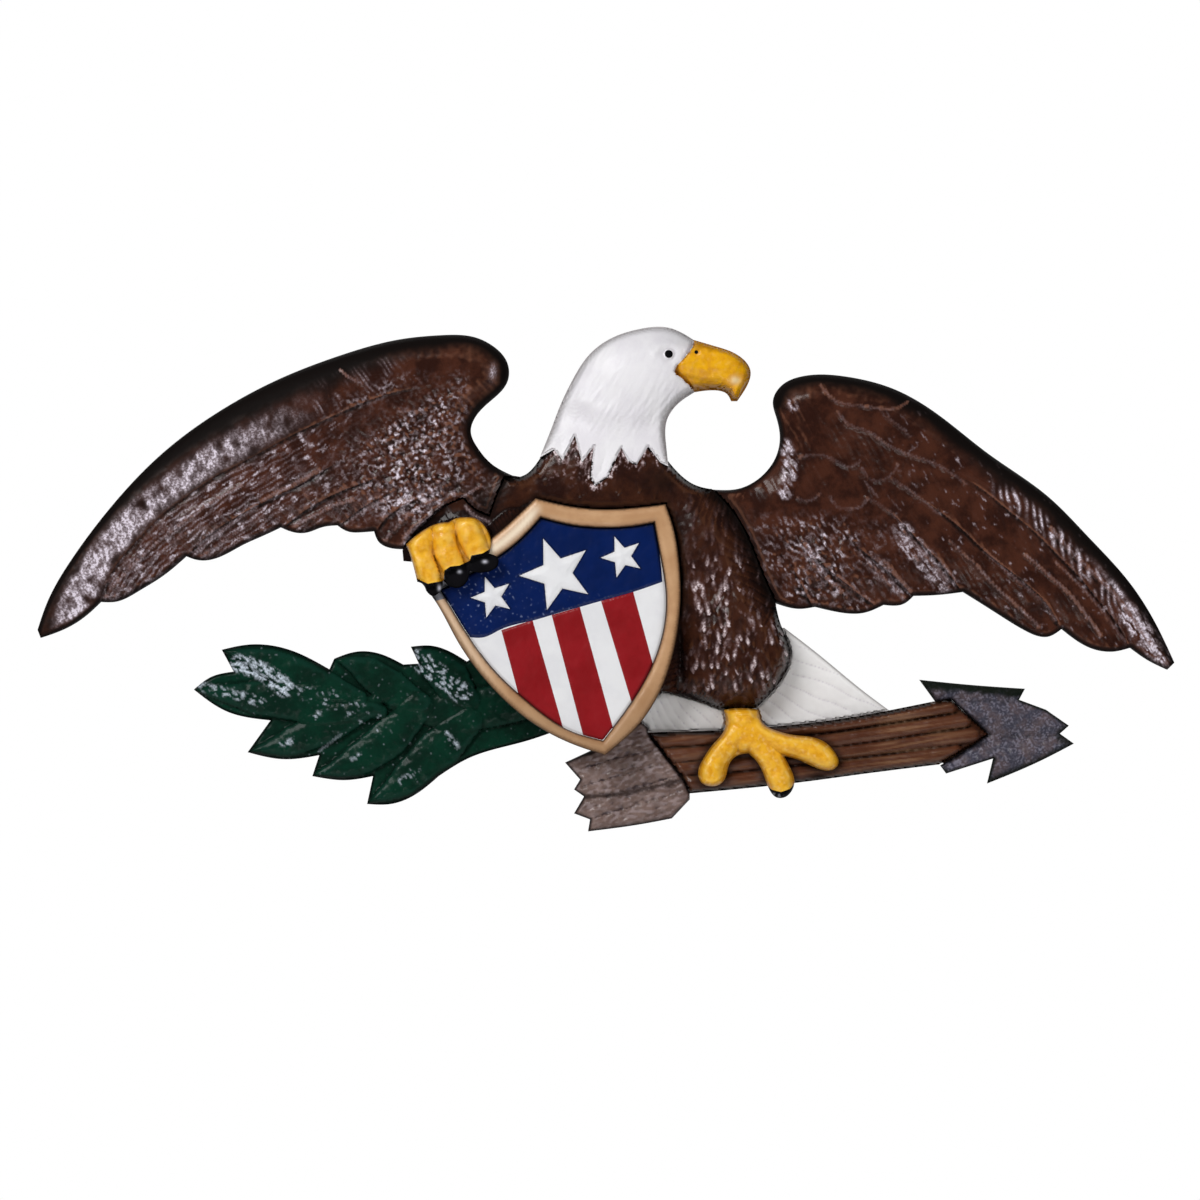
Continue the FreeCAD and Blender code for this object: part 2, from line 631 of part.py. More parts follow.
LEFT_CORES_PX = [
    [(470, 362), (430, 350), (350, 372), (300, 392), (300, 440), (380, 425), (455, 405)],
    [(280, 402), (225, 432), (175, 470), (135, 512), (150, 520), (220, 480), (280, 452)],
]
RIGHT_CORES_PX = [
    [(800, 395), (850, 388), (905, 412), (905, 445), (850, 450), (800, 440)],
    [(955, 450), (1010, 490), (1065, 545), (1110, 600), (1095, 605), (1030, 550), (955, 490)],
]
castings["left_wing_casting"] = make_wing(
    -1, LEFT_WING_PX, on_left_wing, LEFT_ARM_PX, LEFT_COVERTS_PX, LEFT_PRIMARIES_PX,
    [(LEFT_CORES_PX[0], size("feather_ridge_depth") - size("casting_wall")),
     (LEFT_CORES_PX[1], size("feather_edge_depth") - size("casting_wall"))],
    WING_SCREWS_PX[:2])
castings["right_wing_casting"] = make_wing(
    1, RIGHT_WING_PX, on_right_wing, RIGHT_ARM_PX, RIGHT_COVERTS_PX, RIGHT_PRIMARIES_PX,
    [(RIGHT_CORES_PX[0], size("feather_ridge_depth") - size("casting_wall")),
     (RIGHT_CORES_PX[1], size("feather_edge_depth") - size("casting_wall"))],
    WING_SCREWS_PX[2:])

# Body: chest and thigh domes over a rim, a flat seat for the shield and the claw, cored
# from behind, with a boss for every screw.
BODY_DOMES_PX = [
    ((606, 492), (82, 62), "body_front_depth"),
    ((712, 555), (66, 100), "body_front_depth"),
    ((738, 640), (56, 82), "thigh_front_depth"),
]
BODY_CORES_PX = [
    ([(474, 572), (540, 545), (650, 530), (660, 600), (640, 672), (600, 704), (548, 688),
      (500, 648)], "shield_seat_depth"),
    ([(690, 520), (726, 545), (750, 600), (768, 644), (764, 672), (742, 690), (706, 682),
      (688, 640)], "body_rim_depth"),
]


def make_body():
    """Cast the body that carries every other piece."""
    front = size("thigh_front_depth") + OVERRUN
    inside = plate(BODY_PX, on_body, ROOT, front)
    parts = [plate(BODY_PX, on_body, ROOT, size("body_rim_depth"))]
    parts.append(plate(SHIELD_PX, on_shield, ROOT, SEAT).common(inside))
    parts.append(block(CLAW_PAD_CORNERS_PX, on_claw, ROOT, SEAT).common(inside))
    for centre, reach, depth_name in BODY_DOMES_PX:
        parts.append(dome(centre, reach, on_body, ROOT, size(depth_name)).common(inside))
    solid = fused(parts)
    solid = solid.cut(clear_of(SHIELD_PX, on_shield, SEAT, front + OVERRUN))
    for corners, depth_name in BODY_CORES_PX:
        ceiling = size(depth_name) - size("casting_wall")
        solid = solid.cut(hollow(corners, on_body, ceiling, ROOT))
    rooted = WING_SCREWS_PX + HEAD_SCREWS_PX + TAIL_SCREWS_PX + BRANCH_SCREWS_PX
    boss_front = size("body_rim_depth") - size("boss_setback")
    bosses = [post(on_body(u, v), size("boss_radius"), ROOT, boss_front) for u, v in rooted]
    pillars = [post(on_body(u, v), size("boss_radius"), ROOT, SEAT - size("casting_wall"))
               for u, v in TAIL_SCREWS_PX + BRANCH_SCREWS_PX]
    solid = solid.multiFuse(bosses + pillars)
    cutters = [screw_seat(u, v, ROOT, SHANK) for u, v in rooted]
    cutters += [through_wall(u, v) for u, v in SHIELD_SCREWS_PX + CLAW_SCREWS_PX]
    cutters.append(clear_of(HEAD_PX, on_head, ROOT - OVERRUN, front))
    cutters.append(clear_of(ANKLE_PX, on_foot, ROOT - OVERRUN, front))
    return solid.cut(cutters)


def through_wall(u, v):
    """Drill the body's front wall from behind for a shield or claw screw."""
    spot = on_body(u, v)
    back = SEAT - size("casting_wall")
    drill = post(spot, size("screw_radius") + size("hole_gap"), back - OVERRUN, SEAT + OVERRUN)
    return drill.fuse(post(spot, size("recess_radius"), ROOT - OVERRUN, back))


castings["body_casting"] = make_body()

HEAD_DOMES_PX = [((640, 378), (68, 54), "head_front_depth"),
                 ((604, 430), (66, 84), "head_front_depth")]
BEAK_PX = ([(676, 358), (712, 362), (736, 374), (738, 398)], [44, 40, 26, 8])
EYE_PX = ((668, 355), (5, 5))
HEAD_CORE_PX = [(582, 436), (578, 408), (594, 374), (618, 350), (662, 344), (678, 358),
                (668, 388), (656, 414), (650, 440)]


def make_head():
    """Cast the head: domed skull and neck, eye, hooked beak and a root under the chest."""
    inside = plate(HEAD_PX, on_head, 0, size("head_front_depth"))
    parts = [plate(HEAD_PX, on_head, 0, size("head_rim_depth"))]
    for centre, reach, depth_name in HEAD_DOMES_PX:
        parts.append(dome(centre, reach, on_head, 0, size(depth_name)).common(inside))
    spine, widths = BEAK_PX
    beak_edge = size("head_rim_depth") + size("casting_wall")
    beak = blade(spine, widths, on_head, size("casting_wall"), beak_edge,
                 (size("beak_front_depth"), beak_edge))
    parts.append(beak.common(inside))
    parts.append(dome(*EYE_PX, on_head, size("eye_seat_depth"), size("eye_front_depth")))
    parts.append(plate(HEAD_ROOT_PX, on_head, 0, ROOT))
    solid = fused(parts)
    cutters = [hollow(HEAD_CORE_PX, on_head, beak_edge)]
    cutters += [screw_hole(u, v, 0, ROOT + OVERRUN) for u, v in HEAD_SCREWS_PX]
    return solid.cut(cutters)


castings["head_casting"] = make_head()


def make_tail():
    """Cast the tail: a flat fan with raised feather ribs, which also carries foot and arrows."""
    front = size("tail_ridge_depth")
    inside = plate(TAIL_PX, on_tail, 0, front)
    parts = [plate(TAIL_PX, on_tail, 0, ROOT)]
    for spine, widths in TAIL_FEATHERS_PX:
        rib = blade(spine, widths, on_tail, size("casting_wall"), ROOT, (front, front))
        parts.append(rib.common(inside))
    solid = fused(parts)
    cutters = [clear_of(BODY_PX, on_body, ROOT, front + OVERRUN),
               clear_of(SHAFTS_PX, on_shafts, ROOT, front + OVERRUN),
               clear_of(ANKLE_PX, on_foot, ROOT, front + OVERRUN)]
    cutters += [screw_hole(u, v, 0, ROOT + OVERRUN)
                for u, v in TAIL_SCREWS_PX + SHAFT_SCREWS_PX + FOOT_SCREWS_PX]
    return solid.cut(cutters)


castings["tail_casting"] = make_tail()


def make_branch():
    """Cast the laurel branch: folded leaves on a stem and a root under the body."""
    inside = plate(BRANCH_PX, on_branch, 0, size("leaf_ridge_depth"))
    parts = [plate(BRANCH_PX, on_branch, 0, ROOT)]
    for spine, widths in LEAVES_PX:
        leaf = blade(spine, widths, on_branch, size("casting_wall"), size("leaf_edge_depth"),
                     (size("leaf_ridge_depth"), size("leaf_edge_depth")))
        parts.append(leaf)
    solid = fused(parts).common(inside)
    cutters = [clear_of(BODY_PX, on_body, ROOT, size("leaf_ridge_depth") + OVERRUN)]
    cutters += [screw_hole(u, v, 0, ROOT + OVERRUN) for u, v in BRANCH_SCREWS_PX]
    return solid.cut(cutters)


castings["branch_casting"] = make_branch()


def make_frame():
    """Cast the shield's frame: a bevelled rim with a ledge that the panel clamps."""
    rim = plate(SHIELD_PX, on_shield, SEAT, FRAME_FRONT)
    opening = plate(PANEL_PX, on_shield, PANEL_BACK, FRAME_FRONT + OVERRUN)
    window = plate(PANEL_PX, on_shield, SEAT - OVERRUN, PANEL_BACK + OVERRUN,
                   -size("ledge_width"))
    rim = rim.cut([opening, window])
    crest = [edge for edge in rim.Edges
             if abs(edge.BoundBox.YMax + FRAME_FRONT) < size("face_tolerance")]
    return rim.makeChamfer(size("frame_bevel"), crest)


castings["shield_frame"] = make_frame()


def make_panel():
    """Cast the shield's panel: raised blue field and stars, bosses for its screws."""
    gap = size("part_line_gap")
    base = plate(PANEL_PX, on_shield, PANEL_BACK, PANEL_FRONT, -gap)
    field = plate(FIELD_PX, on_shield, PANEL_FRONT - gap, PANEL_FRONT + size("field_rise"))
    high = plate(PANEL_PX, on_shield, PANEL_BACK, FRAME_FRONT, -gap)
    parts = [base, field.common(high)]
    for radius_name, centre, lean in STARS_PX:
        rise = size("field_rise") + size("star_rise") + gap
        parts.append(star(centre, size(radius_name), lean, PANEL_FRONT - gap, rise))
    for u, v in SHIELD_SCREWS_PX:
        parts.append(post(on_body(u, v), size("boss_radius"), SEAT, PANEL_BACK + gap))
    solid = fused(parts)
    length = size("screw_length") - size("casting_wall")
    return solid.cut([screw_seat(u, v, SEAT, length) for u, v in SHIELD_SCREWS_PX])


castings["shield_panel"] = make_panel()


def make_shafts():
    """Cast the four arrow shafts side by side, with a tongue at each end."""
    front = size("shaft_front_depth")
    radius = size("shaft_radius")
    inside = plate(SHAFTS_PX, on_shafts, ROOT, front)
    parts = [plate(SHAFTS_PX, on_shafts, ROOT, TONGUE_FRONT)]
    for path in SHAFT_RIDGES_PX:
        depths = [front - radius] * len(path)
        shaft = limb(path, [radius] * len(path), on_shafts, depths)
        parts.append(shaft.common(inside))
    parts.append(plate(SHAFT_HEAD_TONGUE_PX, on_shafts, ROOT, TONGUE_FRONT))
    parts.append(plate(SHAFT_VANE_TONGUE_PX, on_shafts, ROOT, TONGUE_FRONT))
    solid = fused(parts)
    cutters = [clear_of(ANKLE_PX, on_foot, ROOT - OVERRUN, front + OVERRUN)]
    cutters += [screw_seat(u, v, ROOT, SHANK) for u, v in SHAFT_SCREWS_PX]
    cutters += [post(on_body(u, v), size("screw_radius") + size("hole_gap"), 0,
                     TONGUE_FRONT + OVERRUN) for u, v in VANE_SCREWS_PX + ARROWHEAD_SCREWS_PX]
    return solid.cut(cutters)


castings["arrow_shafts"] = make_shafts()


def make_arrow_end(runs, place, ridges, edge_name, ridge_name, screws):
    """Cast the feathered ends or the heads of the arrows, seated on a shaft tongue."""
    front = size(ridge_name)
    edge = size(edge_name)
    inside = plate(runs, place, TONGUE_FRONT, front)
    parts = [plate(runs, place, TONGUE_FRONT, edge)]
    for spine, widths in ridges:
        parts.append(blade(spine, widths, place, TONGUE_FRONT, edge, (front, front)))
    solid = fused(parts).common(inside)
    cutters = [clear_of(SHAFTS_PX, on_shafts, ROOT, size("shaft_front_depth") + OVERRUN)]
    length = size("tongue_screw_length") - size("tongue_thickness")
    cutters += [screw_seat(u, v, TONGUE_FRONT, length) for u, v in screws]
    return solid.cut(cutters)


castings["fletching"] = make_arrow_end(FLETCHING_PX, on_vanes, VANE_RIDGES_PX,
                                       "vane_edge_depth", "vane_ridge_depth", VANE_SCREWS_PX)
castings["arrowheads"] = make_arrow_end(ARROWHEADS_PX, on_heads, ARROWHEAD_RIDGES_PX,
                                        "arrowhead_edge_depth", "arrowhead_ridge_depth",
                                        ARROWHEAD_SCREWS_PX)


def make_claw():
    """Cast the left claw: three toes from a pad beside the shield, hooked over its rim."""
    radius = size("claw_toe_radius")
    crest = size("claw_front_depth") - radius
    parts = [block(CLAW_PAD_CORNERS_PX, on_claw, SEAT, crest)]
    for path in CLAW_PX["toes"]:
        radii = [radius, radius, size("claw_talon_radius"), size("talon_tip_radius")]
        depths = [crest - radius / 2, crest, crest, crest]
        parts.append(limb(path, radii, on_claw, depths))
    solid = fused(parts)
    cutters = [clear_of(SHIELD_PX, on_shield, SEAT - OVERRUN, FRAME_FRONT + size("front_gap"))]
    length = size("screw_length") - size("casting_wall")
    cutters += [screw_seat(u, v, SEAT, length) for u, v in CLAW_SCREWS_PX]
    return solid.cut(cutters)


castings["left_claw"] = make_claw()


def make_foot():
    """Cast the right foot: an ankle that stands on the tail and three toes over the shafts."""
    radius = size("foot_toe_radius")
    crest = size("foot_front_depth") - radius
    under = size("shaft_front_depth") + size("front_gap")
    parts = [plate(ANKLE_PX, on_foot, ROOT, crest)]
    for path in FOOT_PX["toes"]:
        radii = [radius, radius, radius, size("foot_talon_radius")]
        parts.append(limb(path, radii, on_foot, [crest, crest, crest, crest - radius / 2]))
    solid = fused(parts)
    under_toes = clear_of(SHAFTS_PX, on_shafts, ROOT, under)
    cutters = [under_toes.cut(plate(ANKLE_PX, on_foot, 0, under))]
    cutters += [screw_seat(u, v, ROOT, SHANK) for u, v in FOOT_SCREWS_PX]
    return solid.cut(cutters)


castings["right_foot"] = make_foot()

for name, shape in castings.items():
    feature = doc.addObject("Part::Feature", name)
    feature.Label = name
    feature.Shape = shape
    feature.Placement = Placement()

TO_FRONT = Rotation(Vector(1, 0, 0), 90)


def add_cylinder(name, x, z, depth, radius, height):
    """Add a cylinder that starts at a depth and points to the front."""
    body = doc.addObject("Part::Cylinder", name)
    body.setExpression("Radius", radius)
    body.setExpression("Height", height)
    body.Placement = Placement(Vector(x, 0, z), TO_FRONT)
    body.setExpression("Placement.Base.y", f"-({depth})")
    return body


def add_screws(name, spots, seat, kind, length):
    """Add the pan-head screws of one joint as one node of separate solids."""
    screws = []
    for index, spot in enumerate(spots, start=1):
        head = add_cylinder(f"{name}_head_{index}", spot.x, spot.z,
                            f"{seat} - sizes.{kind}_head_height", f"sizes.{kind}_head_radius",
                            f"sizes.{kind}_head_height")
        shank = add_cylinder(f"{name}_shank_{index}", spot.x, spot.z, seat,
                             f"sizes.{kind}_radius", f"sizes.{length}")
        screw = doc.addObject("Part::Fuse", f"{name}_{index}")
        screw.Base = head
        screw.Tool = shank
        screws.append(screw)
    group = doc.addObject("Part::Compound", name)
    group.Links = screws
    group.Label = name
    return group


def body_spots(points):
    """Turn screw places on the photo into places on the body."""
    return [on_body(u, v) for u, v in points]


IN_ROOT = "sizes.recess_depth"
IN_WALL = "sizes.shield_seat_depth - sizes.casting_wall"
ON_TONGUE = "sizes.root_thickness"
nodes = [doc.getObject(name) for name in castings]
for name, points, seat, length in [
        ("wing_screws", WING_SCREWS_PX, IN_ROOT, "screw_length"),
        ("head_screws", HEAD_SCREWS_PX, IN_ROOT, "screw_length"),
        ("tail_screws", TAIL_SCREWS_PX, IN_ROOT, "screw_length"),
        ("branch_screws", BRANCH_SCREWS_PX, IN_ROOT, "screw_length"),
        ("foot_screw", FOOT_SCREWS_PX, IN_ROOT, "screw_length"),
        ("shaft_screws", SHAFT_SCREWS_PX, IN_ROOT, "screw_length"),
        ("shield_screws", SHIELD_SCREWS_PX, IN_WALL, "screw_length"),
        ("claw_screw", CLAW_SCREWS_PX, IN_WALL, "screw_length"),
        ("fletching_screw", VANE_SCREWS_PX, ON_TONGUE, "tongue_screw_length"),
        ("arrowhead_screw", ARROWHEAD_SCREWS_PX, ON_TONGUE, "tongue_screw_length")]:
    nodes.append(add_screws(name, body_spots(points), seat, "screw", length))

HANGER_FRONT = "sizes.hanger_inset + sizes.hanger_thickness"
hanger_spots = [Vector(side * size("hanger_spacing") / 2, 0, up * size("hanger_screw_pitch") / 2)
                for side in (-1, 1) for up in (-1, 1)]
nodes.append(add_screws("hanger_screws", hanger_spots, "sizes.hanger_inset", "hanger_screw",
                        "hanger_screw_length"))


def add_box(name, x, z, depth, wide, deep, tall):
    """Add a box centred across on x, that starts at a height z and a depth."""
    box = doc.addObject("Part::Box", name)
    box.setExpression("Length", wide)
    box.setExpression("Width", deep)
    box.setExpression("Height", tall)
    box.setExpression("Placement.Base.x", f"{x} - ({wide}) / 2")
    box.setExpression("Placement.Base.y", f"-({depth}) - ({deep})")
    box.setExpression("Placement.Base.z", z)
    return box


def add_hanger(name, side):
    """Add a keyhole hanger plate: a round entry, a slot above it and two screw holes."""
    x = side * size("hanger_spacing") / 2
    centre = f"{side} * sizes.hanger_spacing / 2"
    blank = add_box(f"{name}_blank", centre, "-sizes.hanger_height / 2", "sizes.hanger_inset",
                    "sizes.hanger_width", "sizes.hanger_thickness", "sizes.hanger_height")
    start = "sizes.hanger_inset - sizes.overrun"
    through = "sizes.hanger_thickness + 2 * sizes.overrun"
    cuts = [add_cylinder(f"{name}_entry", x, 0, start, "sizes.keyhole_radius", through)]
    slot = add_box(f"{name}_slot", centre, "0 mm", start, "sizes.keyhole_slot_width", through,
                   "sizes.keyhole_slot_rise - sizes.keyhole_slot_width / 2")
    top = add_cylinder(f"{name}_slot_top", x, size("keyhole_slot_rise")
                       - size("keyhole_slot_width") / 2, start,
                       "sizes.keyhole_slot_width / 2", through)
    cuts += [slot, top]
    for index, up in enumerate((-1, 1), start=1):
        cuts.append(add_cylinder(f"{name}_hole_{index}", x, up * size("hanger_screw_pitch") / 2,
                                 start, "sizes.hanger_screw_radius + sizes.bore_gap", through))
    tool = doc.addObject("Part::MultiFuse", f"{name}_cuts")
    tool.Shapes = cuts
    plate_cut = doc.addObject("Part::Cut", name)
    plate_cut.Base = blank
    plate_cut.Tool = tool
    plate_cut.Label = name
    return plate_cut


nodes.append(add_hanger("left_hanger_plate", -1))
nodes.append(add_hanger("right_hanger_plate", 1))

doc.recompute()
for item in doc.Objects:
    if "Invalid" in item.State or "Error" in item.State:
        raise RuntimeError(f"{item.Name} failed: {item.State}")
for node in nodes:
    if node.Shape.isNull() or not node.Shape.isValid():
        raise RuntimeError(f"{node.Name} has no valid shape")

os.makedirs("parts", exist_ok=True)
for node in nodes:
    node.Shape.exportStep(f"parts/{node.Label}.step")
    print(node.Label, len(node.Shape.Solids), "solids,", round(node.Shape.Volume), "mm3,",
          len(node.Shape.Faces), "faces")
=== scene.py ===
import math

import bpy
import numpy as np
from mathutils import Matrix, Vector
from mathutils.geometry import delaunay_2d_cdt
from mathutils.kdtree import KDTree


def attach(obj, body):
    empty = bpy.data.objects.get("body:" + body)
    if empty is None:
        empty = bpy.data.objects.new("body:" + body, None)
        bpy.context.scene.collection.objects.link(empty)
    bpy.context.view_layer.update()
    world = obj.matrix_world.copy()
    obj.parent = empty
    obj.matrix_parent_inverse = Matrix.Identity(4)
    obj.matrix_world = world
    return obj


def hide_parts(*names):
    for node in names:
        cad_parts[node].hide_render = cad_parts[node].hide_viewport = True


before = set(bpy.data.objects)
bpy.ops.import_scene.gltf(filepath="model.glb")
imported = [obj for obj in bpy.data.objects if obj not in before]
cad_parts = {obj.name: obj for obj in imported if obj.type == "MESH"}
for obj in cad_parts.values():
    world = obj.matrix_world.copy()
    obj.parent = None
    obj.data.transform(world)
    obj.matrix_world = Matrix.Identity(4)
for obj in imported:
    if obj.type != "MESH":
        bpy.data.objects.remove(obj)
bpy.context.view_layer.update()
bpy.ops.object.select_all(action="DESELECT")

# Drawing plane
# Outlines are drawn in photo pixels, u to the right and v down, and worked in millimetres
# on the wall, x to the right and z up. A depth is millimetres out from the wall.
PIXEL_MM = 2 / 3
ORIGIN_PX = (630, 467)
SPOT_GAP = 0.7


def on_wall(points):
    """Turn photo points into millimetres on the wall."""
    spots = np.array(points, float)
    return np.column_stack([(spots[:, 0] - ORIGIN_PX[0]) * PIXEL_MM,
                            (ORIGIN_PX[1] - spots[:, 1]) * PIXEL_MM])


def across(points):
    """Give the photo's u of points on the wall."""
    return points[:, 0] / PIXEL_MM + ORIGIN_PX[0]


def down(points):
    """Give the photo's v of points on the wall."""
    return ORIGIN_PX[1] - points[:, 1] / PIXEL_MM


def smooth_line(points):
    """Draw a smooth line through photo points, with spots a spot gap apart."""
    spots = on_wall(points)
    knots = np.concatenate([[0], np.cumsum(np.linalg.norm(np.diff(spots, axis=0), axis=1))])
    at = np.linspace(0, knots[-1], max(int(knots[-1] / SPOT_GAP), 1) + 1)
    if len(spots) == 2:
        return spots[0] + (spots[1] - spots[0]) * (at / knots[-1])[:, None]
    gaps = np.diff(knots)
    count = len(spots)
    matrix = np.eye(count)
    right = np.zeros((count, 2))
    for i in range(1, count - 1):
        matrix[i, i - 1:i + 2] = gaps[i - 1], 2 * (gaps[i - 1] + gaps[i]), gaps[i]
        right[i] = 6 * ((spots[i + 1] - spots[i]) / gaps[i]
                        - (spots[i] - spots[i - 1]) / gaps[i - 1])
    bend = np.linalg.solve(matrix, right)
    i = np.clip(np.searchsorted(knots, at, side="right") - 1, 0, count - 2)
    a = ((knots[i + 1] - at) / gaps[i])[:, None]
    b = 1 - a
    return (a * spots[i] + b * spots[i + 1]
            + ((a ** 3 - a) * bend[i] + (b ** 3 - b) * bend[i + 1]) * (gaps[i] ** 2)[:, None] / 6)


def ring_of(runs):
    """Join an outline's runs into one closed ring of spots."""
    return np.concatenate([smooth_line(run)[:-1] for run in runs])


def stretched(corners):
    """Draw straight lines between photo corners, with spots along them."""
    corners = list(corners)
    return ring_of([[a, b] for a, b in zip(corners, corners[1:] + corners[:1])])


def disc(u, v, radius, count=20):
    """Draw a round ring about a photo point."""
    turn = np.linspace(0, math.tau, count, endpoint=False)
    return on_wall([(u, v)])[0] + radius * np.column_stack([np.cos(turn), np.sin(turn)])


def oblong(x, low, high, wide):
    """Draw an upright rectangle on the wall, in millimetres."""
    half = wide / 2
    return np.array([(x - half, low), (x + half, low), (x + half, high), (x - half, high)])


def within(points, ring):
    """Tell which points lie inside a ring."""
    near = np.flatnonzero(((points >= ring.min(0)) & (points <= ring.max(0))).all(1))
    x, y = points[near].T
    hit = np.zeros(len(near), bool)
    for (x0, y0), (x1, y1) in zip(ring, np.roll(ring, -1, 0)):
        if y0 != y1:
            hit ^= ((y0 > y) != (y1 > y)) & (x < (x1 - x0) * (y - y0) / (y1 - y0) + x0)
    inside = np.zeros(len(points), bool)
    inside[near[hit]] = True
    return inside


def follow(points, line, closed=False):
    """Find each point's place along a line and its distance from it, left positive."""
    if closed:
        line = np.concatenate([line, line[:1]])
    tree = KDTree(len(line))
    for i, (x, y) in enumerate(line):
        tree.insert((x, y, 0), i)
    tree.balance()
    near = np.array([tree.find((x, y, 0))[1] for x, y in points], int)
    lengths = np.concatenate([[0], np.cumsum(np.linalg.norm(np.diff(line, axis=0), axis=1))])
    if closed:
        near = np.where(near == len(line) - 1, 0, near)
        starts = [(near - 1) % (len(line) - 1), near]
    else:
        starts = [np.clip(near - 1, 0, len(line) - 2), np.clip(near, 0, len(line) - 2)]
    place, away, side = 0, np.full(len(points), np.inf), 0
    for start in starts:
        run = line[start + 1] - line[start]
        gap = points - line[start]
        share = np.clip((gap * run).sum(1) / (run * run).sum(1), 0, 1)
        rest = gap - run * share[:, None]
        far = np.hypot(rest[:, 0], rest[:, 1])
        left = np.where(run[:, 0] * gap[:, 1] - run[:, 1] * gap[:, 0] >= 0, 1.0, -1.0)
        better = far < away
        place = np.where(better, lengths[start] + share * np.hypot(run[:, 0], run[:, 1]), place)
        side = np.where(better, left, side)
        away = np.minimum(away, far)
    return place, away * side, lengths[-1]


def apart(points, line, reach=30.0, closed=False):
    """Give the distance from a line, measured up to a reach only."""
    near = ((points > line.min(0) - reach) & (points < line.max(0) + reach)).all(1)
    away = np.full(len(points), reach)
    if near.any():
        away[near] = np.minimum(np.abs(follow(points[near], line, closed)[1]), reach)
    return away


def clear_of(points, ring, reach):
    """Give the distance from a closed ring, up to a reach."""
    return apart(points, ring, reach, True)


def beside(points, line_px, reach=30.0):
    """Give the distance from a smooth line through photo points, up to a reach."""
    return apart(points, smooth_line(line_px), reach)


def soft(value, low, high):
    """Rise smoothly from 0 to 1 between two values."""
    share = np.clip((value - low) / (high - low), 0, 1)
    return share * share * (3 - 2 * share)


def fade(value, low, high):
    """Fall smoothly from 1 to 0 between two values."""
    return 1 - soft(value, low, high)


def rounded(distance, radius):
    """Rise from 0 at an edge to 1 at a radius, as a quarter circle does."""
    share = 1 - np.clip(distance / radius, 0, 1)
    return np.sqrt(np.clip(1 - share * share, 0, 1))


def arch(distance, half):
    """Fall from 1 at no distance to 0 at a half width, as a round rod does."""
    return np.sqrt(np.clip(1 - (distance / half) ** 2, 0, 1))


def bell(distance, wide):
    """Fall from 1 at no distance, softly, to near 0 at twice a width."""
    return np.exp(-(distance / wide) ** 2)


def lumps(points, wide, seed, long=None, lean=31):
    """Make smooth lumps between -1 and 1 of a width, and a length along a lean in degrees."""
    turns = np.random.default_rng(seed).uniform(0, math.tau, (256, 256))
    turn = math.radians(lean)
    along = points[:, 0] * math.cos(turn) + points[:, 1] * math.sin(turn)
    side = points[:, 1] * math.cos(turn) - points[:, 0] * math.sin(turn)
    x, y = along / (long or wide) + 500, side / wide + 500
    i, j = np.floor(x).astype(int), np.floor(y).astype(int)
    x, y = x - i, y - j

    def corner(a, b):
        heading = turns[(i + a) % 256, (j + b) % 256]
        return np.cos(heading) * (x - a) + np.sin(heading) * (y - b)

    share = x ** 3 * (x * (x * 6 - 15) + 10)
    low = corner(0, 0) * (1 - share) + corner(1, 0) * share
    high = corner(0, 1) * (1 - share) + corner(1, 1) * share
    share = y ** 3 * (y * (y * 6 - 15) + 10)
    return 1.6 * (low * (1 - share) + high * share)


def flecks(points, wide, seed, least=0.2, long=None, lean=31):
    """Scatter soft flecks where smooth lumps stand above a level."""
    return soft(lumps(points, wide, seed, long, lean), least, least + 0.3)


def patchy(points, fine, coarse, share=0.7):
    """Scatter fine flecks that stand closer together where coarse flecks are."""
    return flecks(points, *fine) * (1 - share + share * flecks(points, *coarse))


def barbs(points, pitch, lean, seed):
    """Make even strokes along a lean, a little uneven in place and in strength."""
    turn = math.radians(lean)
    side = points[:, 1] * math.cos(turn) - points[:, 0] * math.sin(turn)
    phase = side / pitch + 0.45 * lumps(points, pitch * 3, seed)
    strength = 0.62 + 0.5 * lumps(points, pitch * 1.6, seed + 1, pitch * 3.5, lean)
    return np.clip((0.5 + 0.5 * np.cos(phase * math.tau)) ** 1.6 * strength, 0, 1)


def settled(depth, level, share):
    """Bring a depth to a level where a share falls to 0."""
    return level + (depth - level) * share


def greatest(*layers):
    """Take the greatest of several layers at every point."""
    return np.maximum.reduce(np.broadcast_arrays(*layers))


def either(one, two, blend):
    """Take the greater of two depths with a soft join."""
    return (one + two + np.sqrt((one - two) ** 2 + blend ** 2)) / 2


# Making a casting in relief
# Spots closer than this fall together, and slimmer triangles are dropped
MERGE_MM = 1e-5
SLIVER_MM2 = 1e-3
# Edges sharper than this stay crisp
CRISP_ANGLE = math.radians(62)


def linked(parts):
    """List the spots of closed and open lines, and the links along them."""
    spots, links = [], []
    for line, closed in parts:
        first = len(spots)
        spots += list(line)
        links += [(first + i, first + i + 1) for i in range(len(line) - 1)]
        if closed:
            links.append((first + len(line) - 1, first))
    return spots, links


